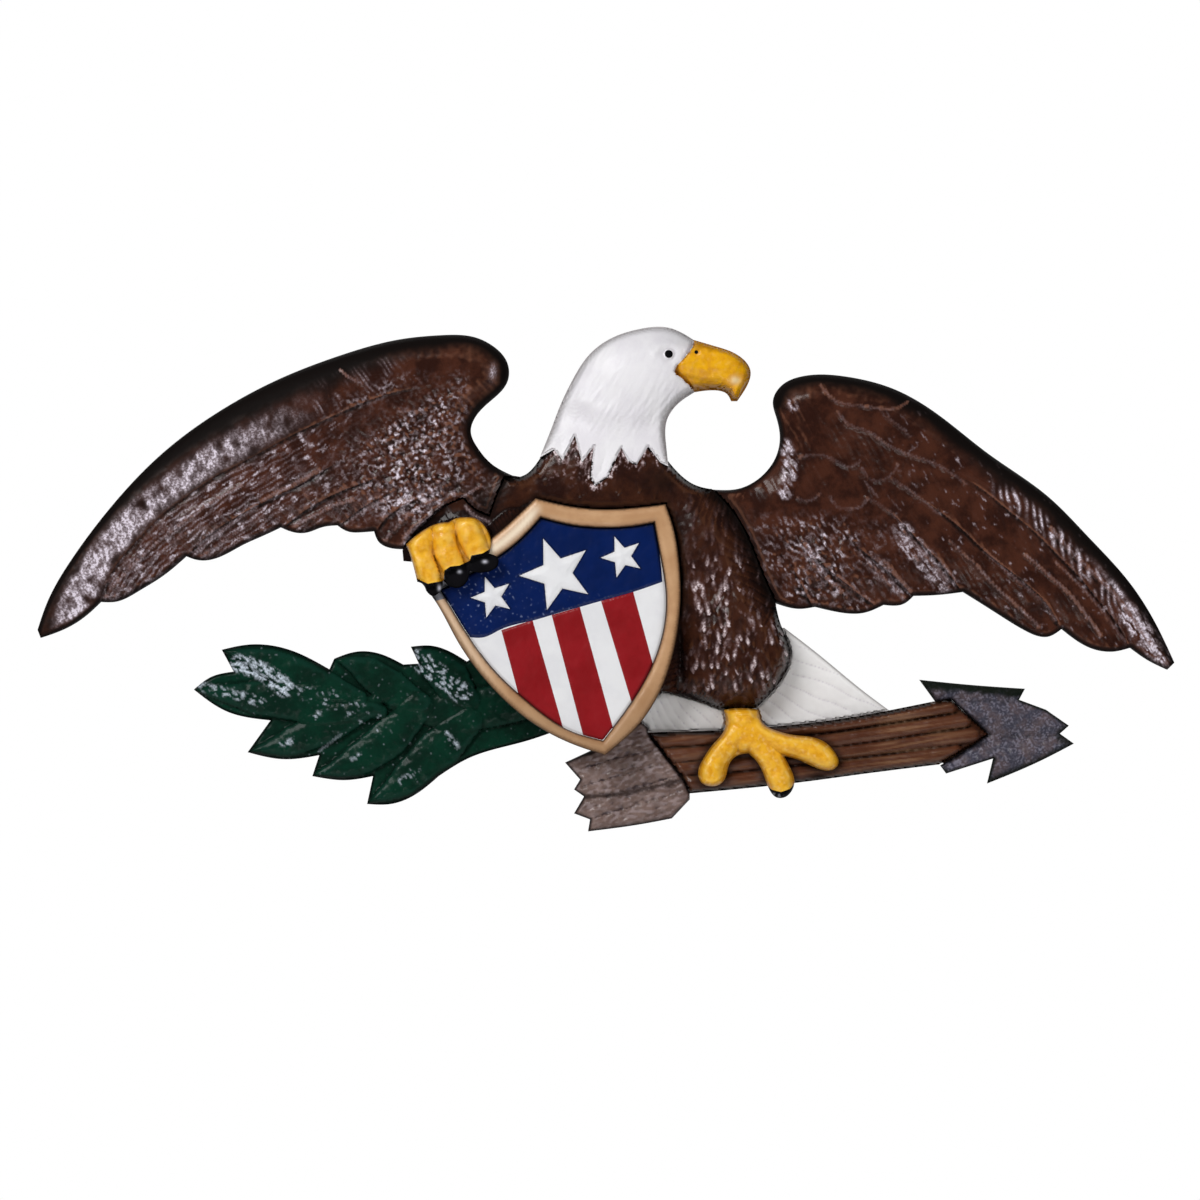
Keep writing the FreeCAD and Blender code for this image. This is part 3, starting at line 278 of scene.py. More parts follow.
def split(spots, links, walls, rings, holes):
    """Divide the inside of the rings into triangles that keep every link as an edge.

    The first links are the walls round the rings. The triangles are sorted by the areas
    that the walls part, each told by its largest one.
    """
    spots = [Vector(spot) for spot in spots]
    verts, edges, faces, old_verts, old_edges, _ = delaunay_2d_cdt(spots, links, [], 0, MERGE_MM)
    verts = np.array([spot[:] for spot in verts], float)
    tris = np.array([face for face in faces if len(face) == 3], int)
    wall = {tuple(sorted(edge)) for edge, old in zip(edges, old_edges)
            if any(i < walls for i in old)}
    sides, owner, _, pairs = free_edges(tris)
    open_pairs = np.array([tuple(sorted(sides[one])) not in wall for one, _ in pairs])
    one, two = owner[pairs[open_pairs, 0]], owner[pairs[open_pairs, 1]]
    area = np.arange(len(tris))
    while True:
        low = np.minimum(area[one], area[two])
        fresh = area.copy()
        for target in (area[one], area[two], one, two):
            np.minimum.at(fresh, target, low)
        fresh = fresh[fresh]
        if (fresh == area).all():
            break
        area = fresh
    a, b, c = verts[tris[:, 0]], verts[tris[:, 1]], verts[tris[:, 2]]
    size = np.abs((b - a)[:, 0] * (c - a)[:, 1] - (b - a)[:, 1] * (c - a)[:, 0])
    order = np.argsort(size)
    largest = np.zeros(len(tris), int)
    largest[area[order]] = order
    kept = (covered(verts[tris].mean(1), rings, holes) & (size > SLIVER_MM2))[largest[area]]
    home = {old: new for new, group in enumerate(old_verts) for old in group}
    runs = {}
    for edge, old in zip(edges, old_edges):
        for i in old:
            runs.setdefault(i, []).append(edge)
    return verts, tris[kept], home, runs


def covered(points, rings, holes):
    """Tell which points lie inside any ring and outside every hole."""
    hit = np.zeros(len(points), bool)
    for ring in rings:
        hit |= within(points, ring)
    for hole in holes:
        hit &= ~within(points, hole)
    return hit


def grid_points(rings, holes, lines, step):
    """Fill the drawing with evenly staggered points that keep off its lines."""
    low = np.min([ring.min(0) for ring in rings], 0)
    high = np.max([ring.max(0) for ring in rings], 0)
    zs = np.arange(low[1], high[1], step * math.sqrt(3) / 2)
    x, z = np.meshgrid(np.arange(low[0], high[0], step), zs)
    x = x + (np.arange(len(zs)) % 2)[:, None] * step / 2
    points = np.column_stack([x.ravel(), z.ravel()])
    points = points[covered(points, rings, holes)]
    for line, closed in [(ring, True) for ring in rings + holes] + lines:
        points = points[apart(points, line, step, closed) > step * 0.45]
    return points


def free_edges(tris):
    """List all edges with their triangles, the ones used once and the pairs used twice."""
    edges = np.concatenate([tris[:, [0, 1]], tris[:, [1, 2]], tris[:, [2, 0]]])
    owner = np.tile(np.arange(len(tris)), 3)
    key = np.sort(edges, 1)
    code = key[:, 0] * (tris.max() + 1) + key[:, 1]
    order = np.argsort(code, kind="stable")
    same = code[order][1:] == code[order][:-1]
    lone = np.ones(len(code), bool)
    lone[order[1:][same]] = False
    lone[order[:-1][same]] = False
    pairs = np.column_stack([order[:-1][same], order[1:][same]])
    return edges, owner, np.flatnonzero(lone), pairs


def smoothed(values, tris, rounds):
    """Average values over neighbouring points, round after round."""
    edges = np.concatenate([tris[:, [0, 1]], tris[:, [1, 2]], tris[:, [2, 0]]])
    count = np.bincount(edges[:, 0], minlength=len(values)) + 1e-9
    for _ in range(rounds):
        values = np.bincount(edges[:, 0], values[edges[:, 1]], len(values)) / count
    return values


def border_gap(verts, tris):
    """Measure how far every point is from the edge of a drawing."""
    edges, _, lone, _ = free_edges(tris)
    hem = edges[lone]
    tree = KDTree(len(hem))
    for i, (a, _) in enumerate(hem):
        tree.insert((*verts[a], 0), i)
    tree.balance()
    leading = {b: i for i, (_, b) in enumerate(hem)}
    near = np.array([tree.find((*spot, 0))[1] for spot in verts])
    before = np.array([leading[a] for a, _ in hem])[near]
    gap = np.full(len(verts), np.inf)
    for i in (near, before):
        a, b = verts[hem[i, 0]], verts[hem[i, 1]]
        run, rest = b - a, verts - a
        share = np.clip((rest * run).sum(1) / (run * run).sum(1), 0, 1)
        gap = np.minimum(gap, np.linalg.norm(rest - run * share[:, None], axis=1))
    return gap


def cast(name, node, rings, form, back, paints, zones=(), holes=(), lines=(),
         levels=(), step=1.0):
    """Cast one piece: a relief on the front, straight sides and a cored back.

    form gives the front's depth, how much shade is painted on it and how strong its painted
    sheen, glints and flecks are, at points and their gap to the edge. zones are rings of
    another paint, lines are kept as edges, and levels are rings of another back depth.
    """
    rings, holes = list(rings), list(holes)
    lines = [(ring, True) for ring, _ in zones] + list(lines)
    fill = grid_points(rings, holes, lines, step)
    edges = [(ring, True) for ring in rings + holes]
    walls = sum(len(ring) for ring in rings + holes)
    spots, links = linked(edges + lines)
    verts, tris, _, _ = split(spots + list(fill), links, walls, rings, holes)
    used, tris = np.unique(tris, return_inverse=True)
    verts, tris = verts[used], tris.reshape(-1, 3)
    gap = border_gap(verts, tris)
    depth, dark, sheen_and_flecks = form(verts, gap)
    # The crest is how far a point stands above its neighbours. The paints turn it into painted
    # highlights on high spots and painted shade in creases.
    crest = depth - smoothed(depth, tris, 10)
    # A step down beside another casting is no crest, nor is the round of the edge.
    crest *= np.where(crest > 0, soft(gap, 0.8, 5.0) * fade(crest, 0.9, 1.6), 1)
    paint = np.zeros(len(tris), int)
    for ring, number in zones:
        paint[within(verts[tris].mean(1), ring)] = number
    edges, owner, lone, _ = free_edges(tris)
    border, border_paint = edges[lone], paint[owner[lone]]
    # Back
    names, short = np.unique(border, return_inverse=True)
    short = short.reshape(-1, 2)
    spots, links = linked([(ring, True) for ring, _ in levels])
    links = [tuple(pair) for pair in short] + [(a + len(names), b + len(names))
                                               for a, b in links]
    flat, behind, home, runs = split(list(verts[names]) + spots, links, len(short), rings,
                                     holes)
    level = np.full(len(behind), float(back))
    for ring, deep in levels:
        level[within(flat[behind].mean(1), ring)] = deep
    places = [tuple(p) for p in np.column_stack([verts[:, 0], -depth, verts[:, 1]])]
    seen = {}

    def backing(vertex, deep):
        """Place a vertex of the back at a depth, once."""
        if (vertex, deep) not in seen:
            seen[vertex, deep] = len(places)
            places.append((flat[vertex][0], -deep, flat[vertex][1]))
        return seen[vertex, deep]

    faces = [tuple(face) for face in tris]
    slots = list(paint)
    for (a, b, c), deep in zip(behind, level):
        faces.append((backing(c, deep), backing(b, deep), backing(a, deep)))
        slots.append(len(paints))
    edges, owner, lone, pairs = free_edges(behind)
    for one, two in pairs:
        deep, other = level[owner[one]], level[owner[two]]
        if deep != other:
            a, b = edges[one]
            faces.append((backing(a, deep), backing(b, deep), backing(b, other),
                          backing(a, other)))
            slots.append(len(paints))
    lows = {tuple(edges[i]): level[owner[i]] for i in lone}
    for i, ((a, b), (start, end), coat) in enumerate(zip(border, short, border_paint)):
        at, wall = home[start], []
        while at != home[end]:
            along = [edge for edge in runs[i] if at in edge and (at, sum(edge) - at) in lows]
            to = sum(along[0]) - at
            wall += [backing(at, lows[at, to]), backing(to, lows[at, to])]
            at = to
        faces.append((b, a, *dict.fromkeys(wall)))
        slots.append(coat)
    mesh = bpy.data.meshes.new(name)
    mesh.from_pydata([(x / 1000, y / 1000, z / 1000) for x, y, z in places], [], faces)
    hidden = len(places) - len(verts)
    # The first value holds painted shade, the second painted sheen and glints with a few pale
    # flecks of paint, and the third the crest.
    for label, values, rest in (("dark", dark, 1), ("sheen_and_flecks", sheen_and_flecks, 0), ("crest", crest, 0)):
        values = np.concatenate([values, np.full(hidden, rest)]).astype(np.float32)
        mesh.attributes.new(label, "FLOAT", "POINT").data.foreach_set("value", values)
    for material in [*paints, BARE_BACK]:
        mesh.materials.append(material)
    mesh.polygons.foreach_set("material_index", np.array(slots, np.int32))
    piece = bpy.data.objects.new(name, mesh)
    bpy.context.scene.collection.objects.link(piece)
    bpy.ops.object.select_all(action="DESELECT")
    piece.select_set(True)
    bpy.context.view_layer.objects.active = piece
    bpy.ops.object.shade_smooth_by_angle(angle=CRISP_ANGLE)
    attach(piece, "root")
    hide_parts(node)
    print(name, len(faces), "faces")


# Paints
def linear(code):
    """Turn an sRGB hex colour into linear values."""
    values = [int(code[i:i + 2], 16) / 255 for i in (1, 3, 5)]
    return tuple([v / 12.92 if v <= 0.04045 else ((v + 0.055) / 1.055) ** 2.4
                  for v in values] + [1.0])


def add(tree, kind, links=(), **settings):
    """Add a shader node with its socket values, its properties and its links."""
    made = tree.nodes.new(kind)
    for key, value in settings.items():
        if hasattr(made, key):
            setattr(made, key, value)
        else:
            made.inputs[key.replace("_", " ")].default_value = value
    for source, target in links:
        tree.links.new(source, made.inputs[target])
    return made


def blank(name):
    """Start an empty material."""
    material = bpy.data.materials.new(name)
    material.use_nodes = True
    material.node_tree.nodes.clear()
    return material, material.node_tree


def painted(material, shader):
    """End a material with its shader."""
    add(material.node_tree, "ShaderNodeOutputMaterial", [(shader.outputs[0], 0)])
    return material


def noise(tree, place, size_mm, **settings):
    """Add a noise texture of a size in millimetres and give its value."""
    return add(tree, "ShaderNodeTexNoise", [(place, "Vector")], Scale=1000 / size_mm,
               **settings).outputs["Fac"]


def bumped(tree, height, strength, rise):
    """Turn a height into a slightly uneven surface, with its rise in metres."""
    return add(tree, "ShaderNodeBump", [(height, "Height")], Strength=strength,
               Distance=rise).outputs["Normal"]


def on_mesh(tree, label):
    """Give a value that the forms leave on the mesh."""
    return add(tree, "ShaderNodeAttribute", attribute_name=label).outputs["Fac"]


def mixed(tree, share, one, two):
    """Mix two colours by a share. Each colour is a value or a socket."""
    made = add(tree, "ShaderNodeMix", data_type="RGBA")
    for value, target in ((share, 0), (one, 6), (two, 7)):
        if isinstance(value, bpy.types.NodeSocket):
            tree.links.new(value, made.inputs[target])
        else:
            made.inputs[target].default_value = value
    return made.outputs[2]


def ramped(tree, source, low, high, most=1.0):
    """Raise a share softly from 0 to its most while a value goes between two limits."""
    made = add(tree, "ShaderNodeMapRange", [(source, "Value")], interpolation_type="SMOOTHSTEP")
    for target, value in (("From Min", low), ("From Max", high), ("To Max", most)):
        made.inputs[target].default_value = value
    return made.outputs["Result"]


def scaled(tree, socket, factor, more=0.0):
    """Multiply a value by a factor and add more."""
    made = add(tree, "ShaderNodeMath", [(socket, 0)], operation="MULTIPLY_ADD")
    made.inputs[1].default_value = factor
    made.inputs[2].default_value = more
    return made.outputs[0]


def enamel(name, main, second, edge, sheen_and_flecks, crest=None, patch_mm=22, roughness=0.26,
           shine=0.14, coat=0.06, skin=0.3, skin_mm=3.2, crest_at=(0.15, 0.6),
           pit_at=(0.15, 0.7), pit_most=0.85, pit=None, metallic=0.0, grain=0.0,
           crest_most=0.6, dim=None):
    """Make brushed enamel on a cast skin.

    The colour drifts from main to second in patches and goes to edge, duller, where shade is
    painted, to the sheen colour where a sheen of light and glints are painted, to pit where
    shade is painted in the creases and to crest where a highlight is painted on the high
    spots. dim is the painted sheen's tone where it is weak.
    """
    material, tree = blank(name)
    place = add(tree, "ShaderNodeTexCoord").outputs["Object"]
    raised, dark, sheen = [on_mesh(tree, label) for label in ("crest", "dark", "sheen_and_flecks")]
    drift = noise(tree, place, patch_mm, Detail=4.0, Roughness=0.6)
    colour = mixed(tree, ramped(tree, drift, 0.38, 0.64), linear(main), linear(second))
    # Painted shade in the creases and painted highlights on the high spots
    sunk = ramped(tree, scaled(tree, raised, -1.0), *pit_at, most=pit_most)
    colour = mixed(tree, sunk, colour, linear(pit or edge))
    if crest:
        high = ramped(tree, raised, *crest_at, most=crest_most)
        colour = mixed(tree, high, colour, linear(crest))
    # Painted shade where the form darkens the piece
    colour = mixed(tree, dark, colour, linear(edge))
    if grain:
        # This grain breaks up the painted sheen. Real brush marks are finer than this.
        fine = ramped(tree, noise(tree, place, 1.5, Detail=1.0), 0.42, 0.6)
        fine = scaled(tree, fine, 1.5 * grain, 1 - 0.6 * grain)
        sheen = add(tree, "ShaderNodeMath", [(sheen, 0), (fine, 1)], operation="MULTIPLY",
                    use_clamp=True).outputs[0]
    # Painted sheen and glints, from the weak tone to the bright one
    marks = mixed(tree, sheen, linear(dim or sheen_and_flecks), linear(sheen_and_flecks))
    colour = mixed(tree, sheen, colour, marks)
    rough = noise(tree, place, skin_mm, Detail=3.0, Roughness=0.55)
    shader = add(tree, "ShaderNodeBsdfPrincipled",
                 [(colour, "Base Color"), (bumped(tree, rough, skin, 0.0006), "Normal"),
                  (scaled(tree, dark, 0.3, roughness), "Roughness"),
                  (scaled(tree, dark, -0.85 * shine, shine), "Specular IOR Level"),
                  (scaled(tree, dark, -coat, coat), "Coat Weight")],
                 Metallic=metallic, Coat_Roughness=0.1)
    return painted(material, shader)


# Paints' names end in their colours. Each call's colours are main, second, edge for the
# painted shade, and the colour of the painted sheen and glints.
# Dark brown gloss enamel, brushed by hand over a rough sand casting, warm red-brown in
# patches, with painted shade nearly black at the edges and a painted lavender-grey sheen
# where the relief would catch the light.
WING_BROWN = enamel("gloss_enamel_wing_brown", "#2c1610", "#46261b", "#14100f", "#dcd2de",
                    crest="#754c3a", patch_mm=15, pit="#140b0a", grain=0.5, crest_most=0.75,
                    dim="#957f82")
BODY_BROWN = enamel("gloss_enamel_body_brown", "#28140f", "#3d2116", "#0b0908", "#d6c7ca",
                    crest="#50301f", patch_mm=15, pit="#150a09", grain=0.5, dim="#98787a")
# White gloss enamel, with grey shade painted in the strokes and at the edge.
HEAD_WHITE = enamel("gloss_enamel_head_white", "#e8e6e9", "#e1dee3", "#b6b2b3", "#f2f2f3",
                    roughness=0.45, shine=0.3, coat=0.05, skin=0.15, pit="#cbc7cc",
                    pit_at=(0.05, 0.6), pit_most=0.55)
TAIL_WHITE = enamel("gloss_enamel_tail_white", "#efedec", "#eae7e6", "#b5afab", "#cfc9d0",
                    roughness=0.45, shine=0.3, coat=0.05, skin=0.1, pit="#d2ccce",
                    pit_at=(0.02, 0.3), pit_most=0.5)
# Egg-yolk yellow enamel, with orange-brown shade painted in the creases and at the edge.
BEAK_YELLOW = enamel("gloss_enamel_beak_yellow", "#e9aa04", "#db9706", "#9a6410", "#f2dcae",
                     patch_mm=7, roughness=0.4, shine=0.3, coat=0.08, skin=0.4, skin_mm=4,
                     pit="#a86b08", pit_at=(0.1, 0.6))
FOOT_YELLOW = enamel("gloss_enamel_foot_yellow", "#f0b228", "#df9a14", "#8f5f14", "#f4d286",
                     crest="#f6c24a", patch_mm=6, roughness=0.36, shine=0.35, coat=0.1,
                     skin=0.5, skin_mm=4, pit="#a0620c", pit_at=(0.25, 1.2), pit_most=0.6)
# Black talon enamel. Its pale tone is for painted glints.
TALON_BLACK = enamel("gloss_enamel_talon_black", "#0b0b0d", "#111013", "#08080a", "#d8d8e4",
                     roughness=0.5, shine=0.02, coat=0.0, skin=0.1)
# Dark green gloss enamel on the leaves, with painted pale glints.
LEAF_GREEN = enamel("gloss_enamel_leaf_green", "#0c241b", "#0c3023", "#060d0a", "#c3cdd9",
                    crest="#12342a", patch_mm=18, pit="#07130e", grain=0.5, shine=0.06,
                    coat=0.03, pit_most=0.4)
# Bronze-gold paint on the shield's rim, a touch metallic, with a painted pale highlight on
# its top left and painted dark shade on its outside.
RIM_GOLD = enamel("bronze_gold_paint", "#c49a72", "#b68a62", "#543d2b", "#f2e0c8",
                  crest="#d0a980", roughness=0.42, shine=0.35, coat=0.1, metallic=0.05,
                  skin=0.15, crest_at=(0.0, 0.8), pit_at=(0.3, 1.5))
FIELD_BLUE = enamel("gloss_enamel_shield_blue", "#001a52", "#00174a", "#020f2a", "#9aa8d0",
                    roughness=0.3, shine=0.3, coat=0.1, skin=0.4, skin_mm=5.0,
                    pit_at=(0.2, 1.2))
STRIPE_RED = enamel("gloss_enamel_shield_red", "#8e141b", "#840f15", "#5a0c10", "#c07074",
                    roughness=0.35, shine=0.3, coat=0.1, skin=0.3, skin_mm=5.0,
                    pit_at=(0.2, 1.2))
STRIPE_WHITE = enamel("gloss_enamel_shield_white", "#e6e6e8", "#e0e0e3", "#b9b5b6", "#f2f2f3",
                      roughness=0.4, shine=0.3, coat=0.05, skin=0.2, skin_mm=5.0,
                      pit="#c0bdc0", pit_at=(0.2, 1.2))
# Red-brown semi-gloss enamel on the shafts, taupe on the vanes, dark grey on the heads.
SHAFT_BROWN = enamel("semi_gloss_enamel_shaft_brown", "#4a2615", "#5a3320", "#170d09",
                     "#a27c5c", roughness=0.36, shine=0.35, coat=0.1, patch_mm=40,
                     pit="#2a150c", pit_at=(0.2, 1.2))
VANE_TAUPE = enamel("semi_gloss_enamel_vane_taupe", "#64504a", "#7a655e", "#1f1716",
                    "#aa9a9c", roughness=0.4, shine=0.35, coat=0.1, pit="#33262a",
                    pit_at=(0.15, 0.9), patch_mm=14)
POINT_GREY = enamel("semi_gloss_enamel_point_grey", "#3a3945", "#52464a", "#10170f",
                    "#8f8b9b", roughness=0.42, shine=0.2, coat=0.04, patch_mm=10,
                    pit="#2b282e", pit_at=(0.15, 0.8))


def bare_casting():
    """Make the back: thin black overspray on grey as-cast aluminium."""
    material, tree = blank("as_cast_aluminium_dark_overspray")
    place = add(tree, "ShaderNodeTexCoord").outputs["Object"]
    drift = ramped(tree, noise(tree, place, 18, Detail=5.0), 0.4, 0.65)
    colour = mixed(tree, drift, linear("#2a2726"), linear("#4b4745"))
    grain = noise(tree, place, 1.6, Detail=2.0)
    shader = add(tree, "ShaderNodeBsdfPrincipled",
                 [(colour, "Base Color"), (bumped(tree, grain, 0.5, 0.0004), "Normal")],
                 Roughness=0.62, Metallic=0.4)
    return painted(material, shader)


BARE_BACK = bare_casting()


def zinc_plate():
    """Make zinc-plated steel: pale grey metal with a faint grain."""
    material, tree = blank("zinc_plated_steel")
    place = add(tree, "ShaderNodeTexCoord").outputs["Object"]
    grain = noise(tree, place, 1.2, Detail=3.0)
    colour = mixed(tree, grain, linear("#a9aaab"), linear("#c2c3c4"))
    shader = add(tree, "ShaderNodeBsdfPrincipled", [(colour, "Base Color")], Roughness=0.34,
                 Metallic=1.0)
    return painted(material, shader)


# Depths from the wall in millimetres, as the castings have them
ROOT = 8.0
SEAT = 30.0
TONGUE = 12.0
THIN_EDGE = 6.4
HEAD_RECESS = 3.2
ARM_CORE = 11.0
TIP_CORE = 6.0
BODY_CORE = 26.0
THIGH_CORE = 16.0
HEAD_CORE = 18.0
PANEL_BACK = 34.0
CLAW_BACK = 46.6
FOOT_BACK = 24.6
# A hair that keeps two surfaces from falling into one, and the gaps beside a piece on top
HAIR = 0.05
GAP = 0.4
TIGHT = 0.16
# The keyholes' distance from the middle, and the radii of bosses and screw heads
HANGER_X = 203.2
BOSS_RADIUS = 6.0
HEAD_RADIUS = 5.0


def outline(*steps):
    """List an outline's runs. A point ends a straight line and a list is a smooth curve.

    Each run starts where the one before it ends, and the first one where the last one ends.
    """
    steps = [step if isinstance(step, list) else [step] for step in steps]
    return [[before[-1], *step] for before, step in zip(steps[-1:] + steps, steps)]


# Outlines in photo pixels. The tongues and the cores are plain lists of corners.
BODY_PX = outline(
    (555, 440), (575, 430), (648, 440), (666, 458), [(680, 474), (696, 485), (712, 489)],
    [(735, 515), (752, 548), (764, 578), (776, 604)],
    [(781, 624), (791, 655), (776, 688), (757, 708)], [(738, 710), (718, 708)],
    [(700, 701), (680, 695), (662, 690)],
    [(640, 712), (600, 730), (548, 706), (498, 664), (462, 618), (438, 590)], (421, 574),
    (414, 562), (403, 561), (402, 550), [(411, 539), (425, 524), (443, 508), (463, 499)],
    [(473, 509), (490, 517)], [(498, 494), (505, 478)], [(524, 475), (540, 458)])
LEFT_WING_PX = outline(
    [(492, 464), (477, 447), (470, 430), (474, 417), (492, 398), (507, 380), (507, 362),
     (494, 346), (474, 336), (440, 334), (400, 338), (340, 354), (280, 377), (220, 409),
     (160, 453), (110, 505), (70, 558), (44, 604), (35, 630)], (38, 638),
    [(62, 629), (84, 615), (98, 602)], [(112, 602), (136, 591), (160, 576), (184, 556)],
    [(196, 560), (214, 558), (240, 545), (262, 535), (279, 527)],
    [(292, 532), (306, 532), (320, 527), (336, 525)], [(346, 531), (360, 532), (373, 531)],
    [(378, 542), (390, 548), (402, 549)], (406, 554),
    [(416, 543), (430, 528), (448, 512), (463, 505)], [(472, 515), (488, 522)], (500, 524),
    (556, 520), (556, 482), (512, 475))
RIGHT_WING_PX = outline(
    [(740, 488), (762, 476), (777, 456), (781, 437), (777, 415), (774, 400), (783, 384),
     (800, 376), (850, 376), (895, 388), (940, 414), (990, 453), (1050, 496), (1090, 536),
     (1130, 580), (1160, 627), (1177, 663)], (1170, 670), [(1150, 660), (1133, 648)],
    [(1115, 652), (1095, 649), (1064, 629)], [(1050, 637), (1028, 631), (1000, 614), (965, 592)],
    [(940, 595), (915, 596)], [(905, 604), (885, 605)], [(865, 613), (838, 612), (816, 607)],
    [(800, 609), (778, 604)], (735, 590), (692, 572), (692, 508), (712, 489))
HEAD_PX = outline(
    [(550, 432), (560, 405), (572, 380), (590, 353), (612, 337), (640, 328), (670, 327),
     (694, 339)], [(718, 346), (738, 354), (751, 370), (746, 388), (738, 400)], (732, 400),
    [(728, 393), (714, 389), (695, 391)], [(678, 403), (667, 420), (666, 444), (668, 467)],
    (660, 463), (648, 447), (636, 466), (628, 462), (621, 448), (608, 478), (595, 487),
    (590, 478), (594, 447), (582, 463), (575, 436), (563, 461), (554, 450), (540, 458))
TAIL_PX = outline(
    [(820, 655), (860, 688), (896, 715)], (884, 742), (655, 755), (636, 722), (648, 680),
    (700, 640), (785, 628))
BRANCH_PX = outline(
    [(210, 677), (232, 672)], (220, 650), [(245, 645), (290, 651), (328, 670)], (333, 659),
    [(355, 652), (378, 654), (402, 665)], (418, 664), (410, 647),
    [(430, 646), (447, 651), (466, 662)], (500, 640), (590, 655), (604, 700), (560, 730),
    [(525, 742), (468, 759), (438, 777)], [(412, 797), (390, 805), (366, 805)], (372, 777),
    [(345, 781), (311, 777)], (318, 756), [(282, 760), (246, 753)], (269, 721),
    [(225, 712), (192, 690)])
SHIELD_PX = outline(
    [(560, 505), (600, 510), (640, 508), (665, 505)],
    [(672, 525), (678, 558), (680, 590), (677, 630), (664, 680), (640, 722), (605, 754)],
    [(575, 744), (530, 720), (485, 678), (458, 640), (437, 602), (422, 582)],
    [(445, 566), (480, 547), (511, 523), (536, 499)])
PANEL_PX = outline(
    [(575, 526), (600, 528), (630, 527), (654, 523)],
    [(661, 560), (666, 596), (661, 640), (642, 685), (603, 740)],
    [(570, 730), (530, 703), (492, 667), (470, 637), (452, 608), (441, 590)],
    [(464, 578), (492, 561), (518, 542), (541, 518)])
SHAFTS_PX = outline(
    (720, 731), [(830, 721), (934, 702)], (952, 700), (990, 735), (940, 765),
    [(860, 775), (800, 783), (690, 794)], (685, 782), (648, 733))
FLETCHING_PX = outline(
    (641, 722), (606, 744), (565, 763), (580, 780), (574, 790), (584, 797), (574, 814),
    (590, 820), (588, 832), [(640, 825), (672, 819)], (690, 800), (690, 794), (685, 782),
    (648, 733), (648, 728))
ARROWHEADS_PX = outline(
    [(970, 685), (1026, 689)], (1020, 700), (1047, 710), (1070, 726), (1061, 734), (1075, 744),
    [(1040, 762), (988, 784)], (994, 759), (947, 774), (941, 766), (990, 735), (952, 700),
    (936, 702), (920, 680))
POINT_TONGUE_PX = [(930, 712), (1030, 716), (1030, 742), (952, 768), (930, 756)]
VANE_TONGUE_PX = [(612, 760), (700, 750), (700, 785), (612, 795)]
ANKLE_PX = outline(
    (758, 702), (762, 722), [(742, 730), (722, 724)], (724, 702))
CLAW_PX = outline(
    [(413, 540), (422, 533), (430, 528)], [(440, 524), (450, 523)],
    [(458, 519), (467, 518), (476, 519), (484, 525), (490, 535), (492, 546), (490, 554)],
    [(499, 559), (498, 567), (490, 572)], [(480, 573), (471, 571)],
    [(468, 582), (460, 588), (450, 586)], (444, 580), [(442, 591), (434, 596), (428, 591)],
    [(424, 584), (419, 582)], [(416, 570), (412, 556), (408, 545)])
FOOT_PX = outline(
    [(740, 708), (758, 710)],
    [(762, 722), (775, 730), (795, 735), (812, 737), (826, 743), (835, 753), (838, 763),
     (833, 769), (824, 770), (812, 766), (796, 759), (784, 756)],
    [(790, 768), (794, 780), (791, 791), (784, 797), (776, 797), (769, 789), (764, 776),
     (757, 762), (748, 753)],
    [(736, 756), (729, 764), (726, 775), (721, 783), (711, 786), (701, 782), (698, 774),
     (704, 757), (713, 744), (724, 730), (726, 720), (724, 710)])
WING_SCREWS_PX = [(518, 494), (538, 506), (708, 522), (708, 560)]
HEAD_SCREWS_PX = [(592, 496), (628, 496)]
TAIL_SCREWS_PX = [(690, 665), (752, 662)]
BRANCH_SCREWS_PX = [(520, 668), (570, 690)]
SHAFT_SCREWS_PX = [(696, 742), (820, 733)]
CLAW_SCREWS_PX = [(448, 550)]
FOOT_SCREWS_PX = [(741, 715)]
LEFT_CORES_PX = [
    [(470, 362), (430, 350), (350, 372), (300, 392), (300, 440), (380, 425), (455, 405)],
    [(280, 402), (225, 432), (175, 470), (135, 512), (150, 520), (220, 480), (280, 452)],
]
RIGHT_CORES_PX = [
    [(800, 395), (850, 388), (905, 412), (905, 445), (850, 450), (800, 440)],
    [(955, 450), (1010, 490), (1065, 545), (1110, 600), (1095, 605), (1030, 550), (955, 490)],
]
SHIELD_CORE_PX = [(474, 572), (540, 545), (650, 530), (660, 600), (640, 672), (600, 704),
                  (548, 688), (500, 648)]
THIGH_CORE_PX = [(690, 520), (726, 545), (750, 600), (768, 644), (764, 672), (742, 690),
                 (706, 682), (688, 640)]
HEAD_CORE_PX = [(582, 436), (578, 408), (594, 374), (618, 350), (662, 344), (678, 358),
                (668, 388), (656, 414), (650, 440)]

BODY = ring_of(BODY_PX)
SHIELD = ring_of(SHIELD_PX)
HEAD = ring_of(HEAD_PX)
CLAW = ring_of(CLAW_PX)
FOOT = ring_of(FOOT_PX)
SHAFTS = ring_of(SHAFTS_PX)
ANKLE = ring_of(ANKLE_PX)
FLETCHING = ring_of(FLETCHING_PX)
ARROWHEADS = ring_of(ARROWHEADS_PX)


def recesses(spots):
    """Draw the flat recesses that the screw heads sit in."""
    return [(disc(u, v, HEAD_RADIUS), HEAD_RECESS) for u, v in spots]


def hanger_levels(side):
    """Draw the seat of a hanger plate and the pocket behind its keyhole."""
    x = side * HANGER_X
    return [(oblong(x, -22.4, 22.4, 22.8), 3.6), (oblong(x, -5.4, 12, 14), 11.0)]


def near_to(points, ring, gap=GAP):
    """Tell which points lie under a casting's outline or closer to it than a gap."""
    return within(points, ring) | (clear_of(points, ring, 2) < gap * 0.9)


def under(depth, points, ring, ceiling, gap=GAP):
    """Keep a root below the casting that lies over it."""
    return np.where(near_to(points, ring, gap), np.minimum(depth, ceiling), depth)


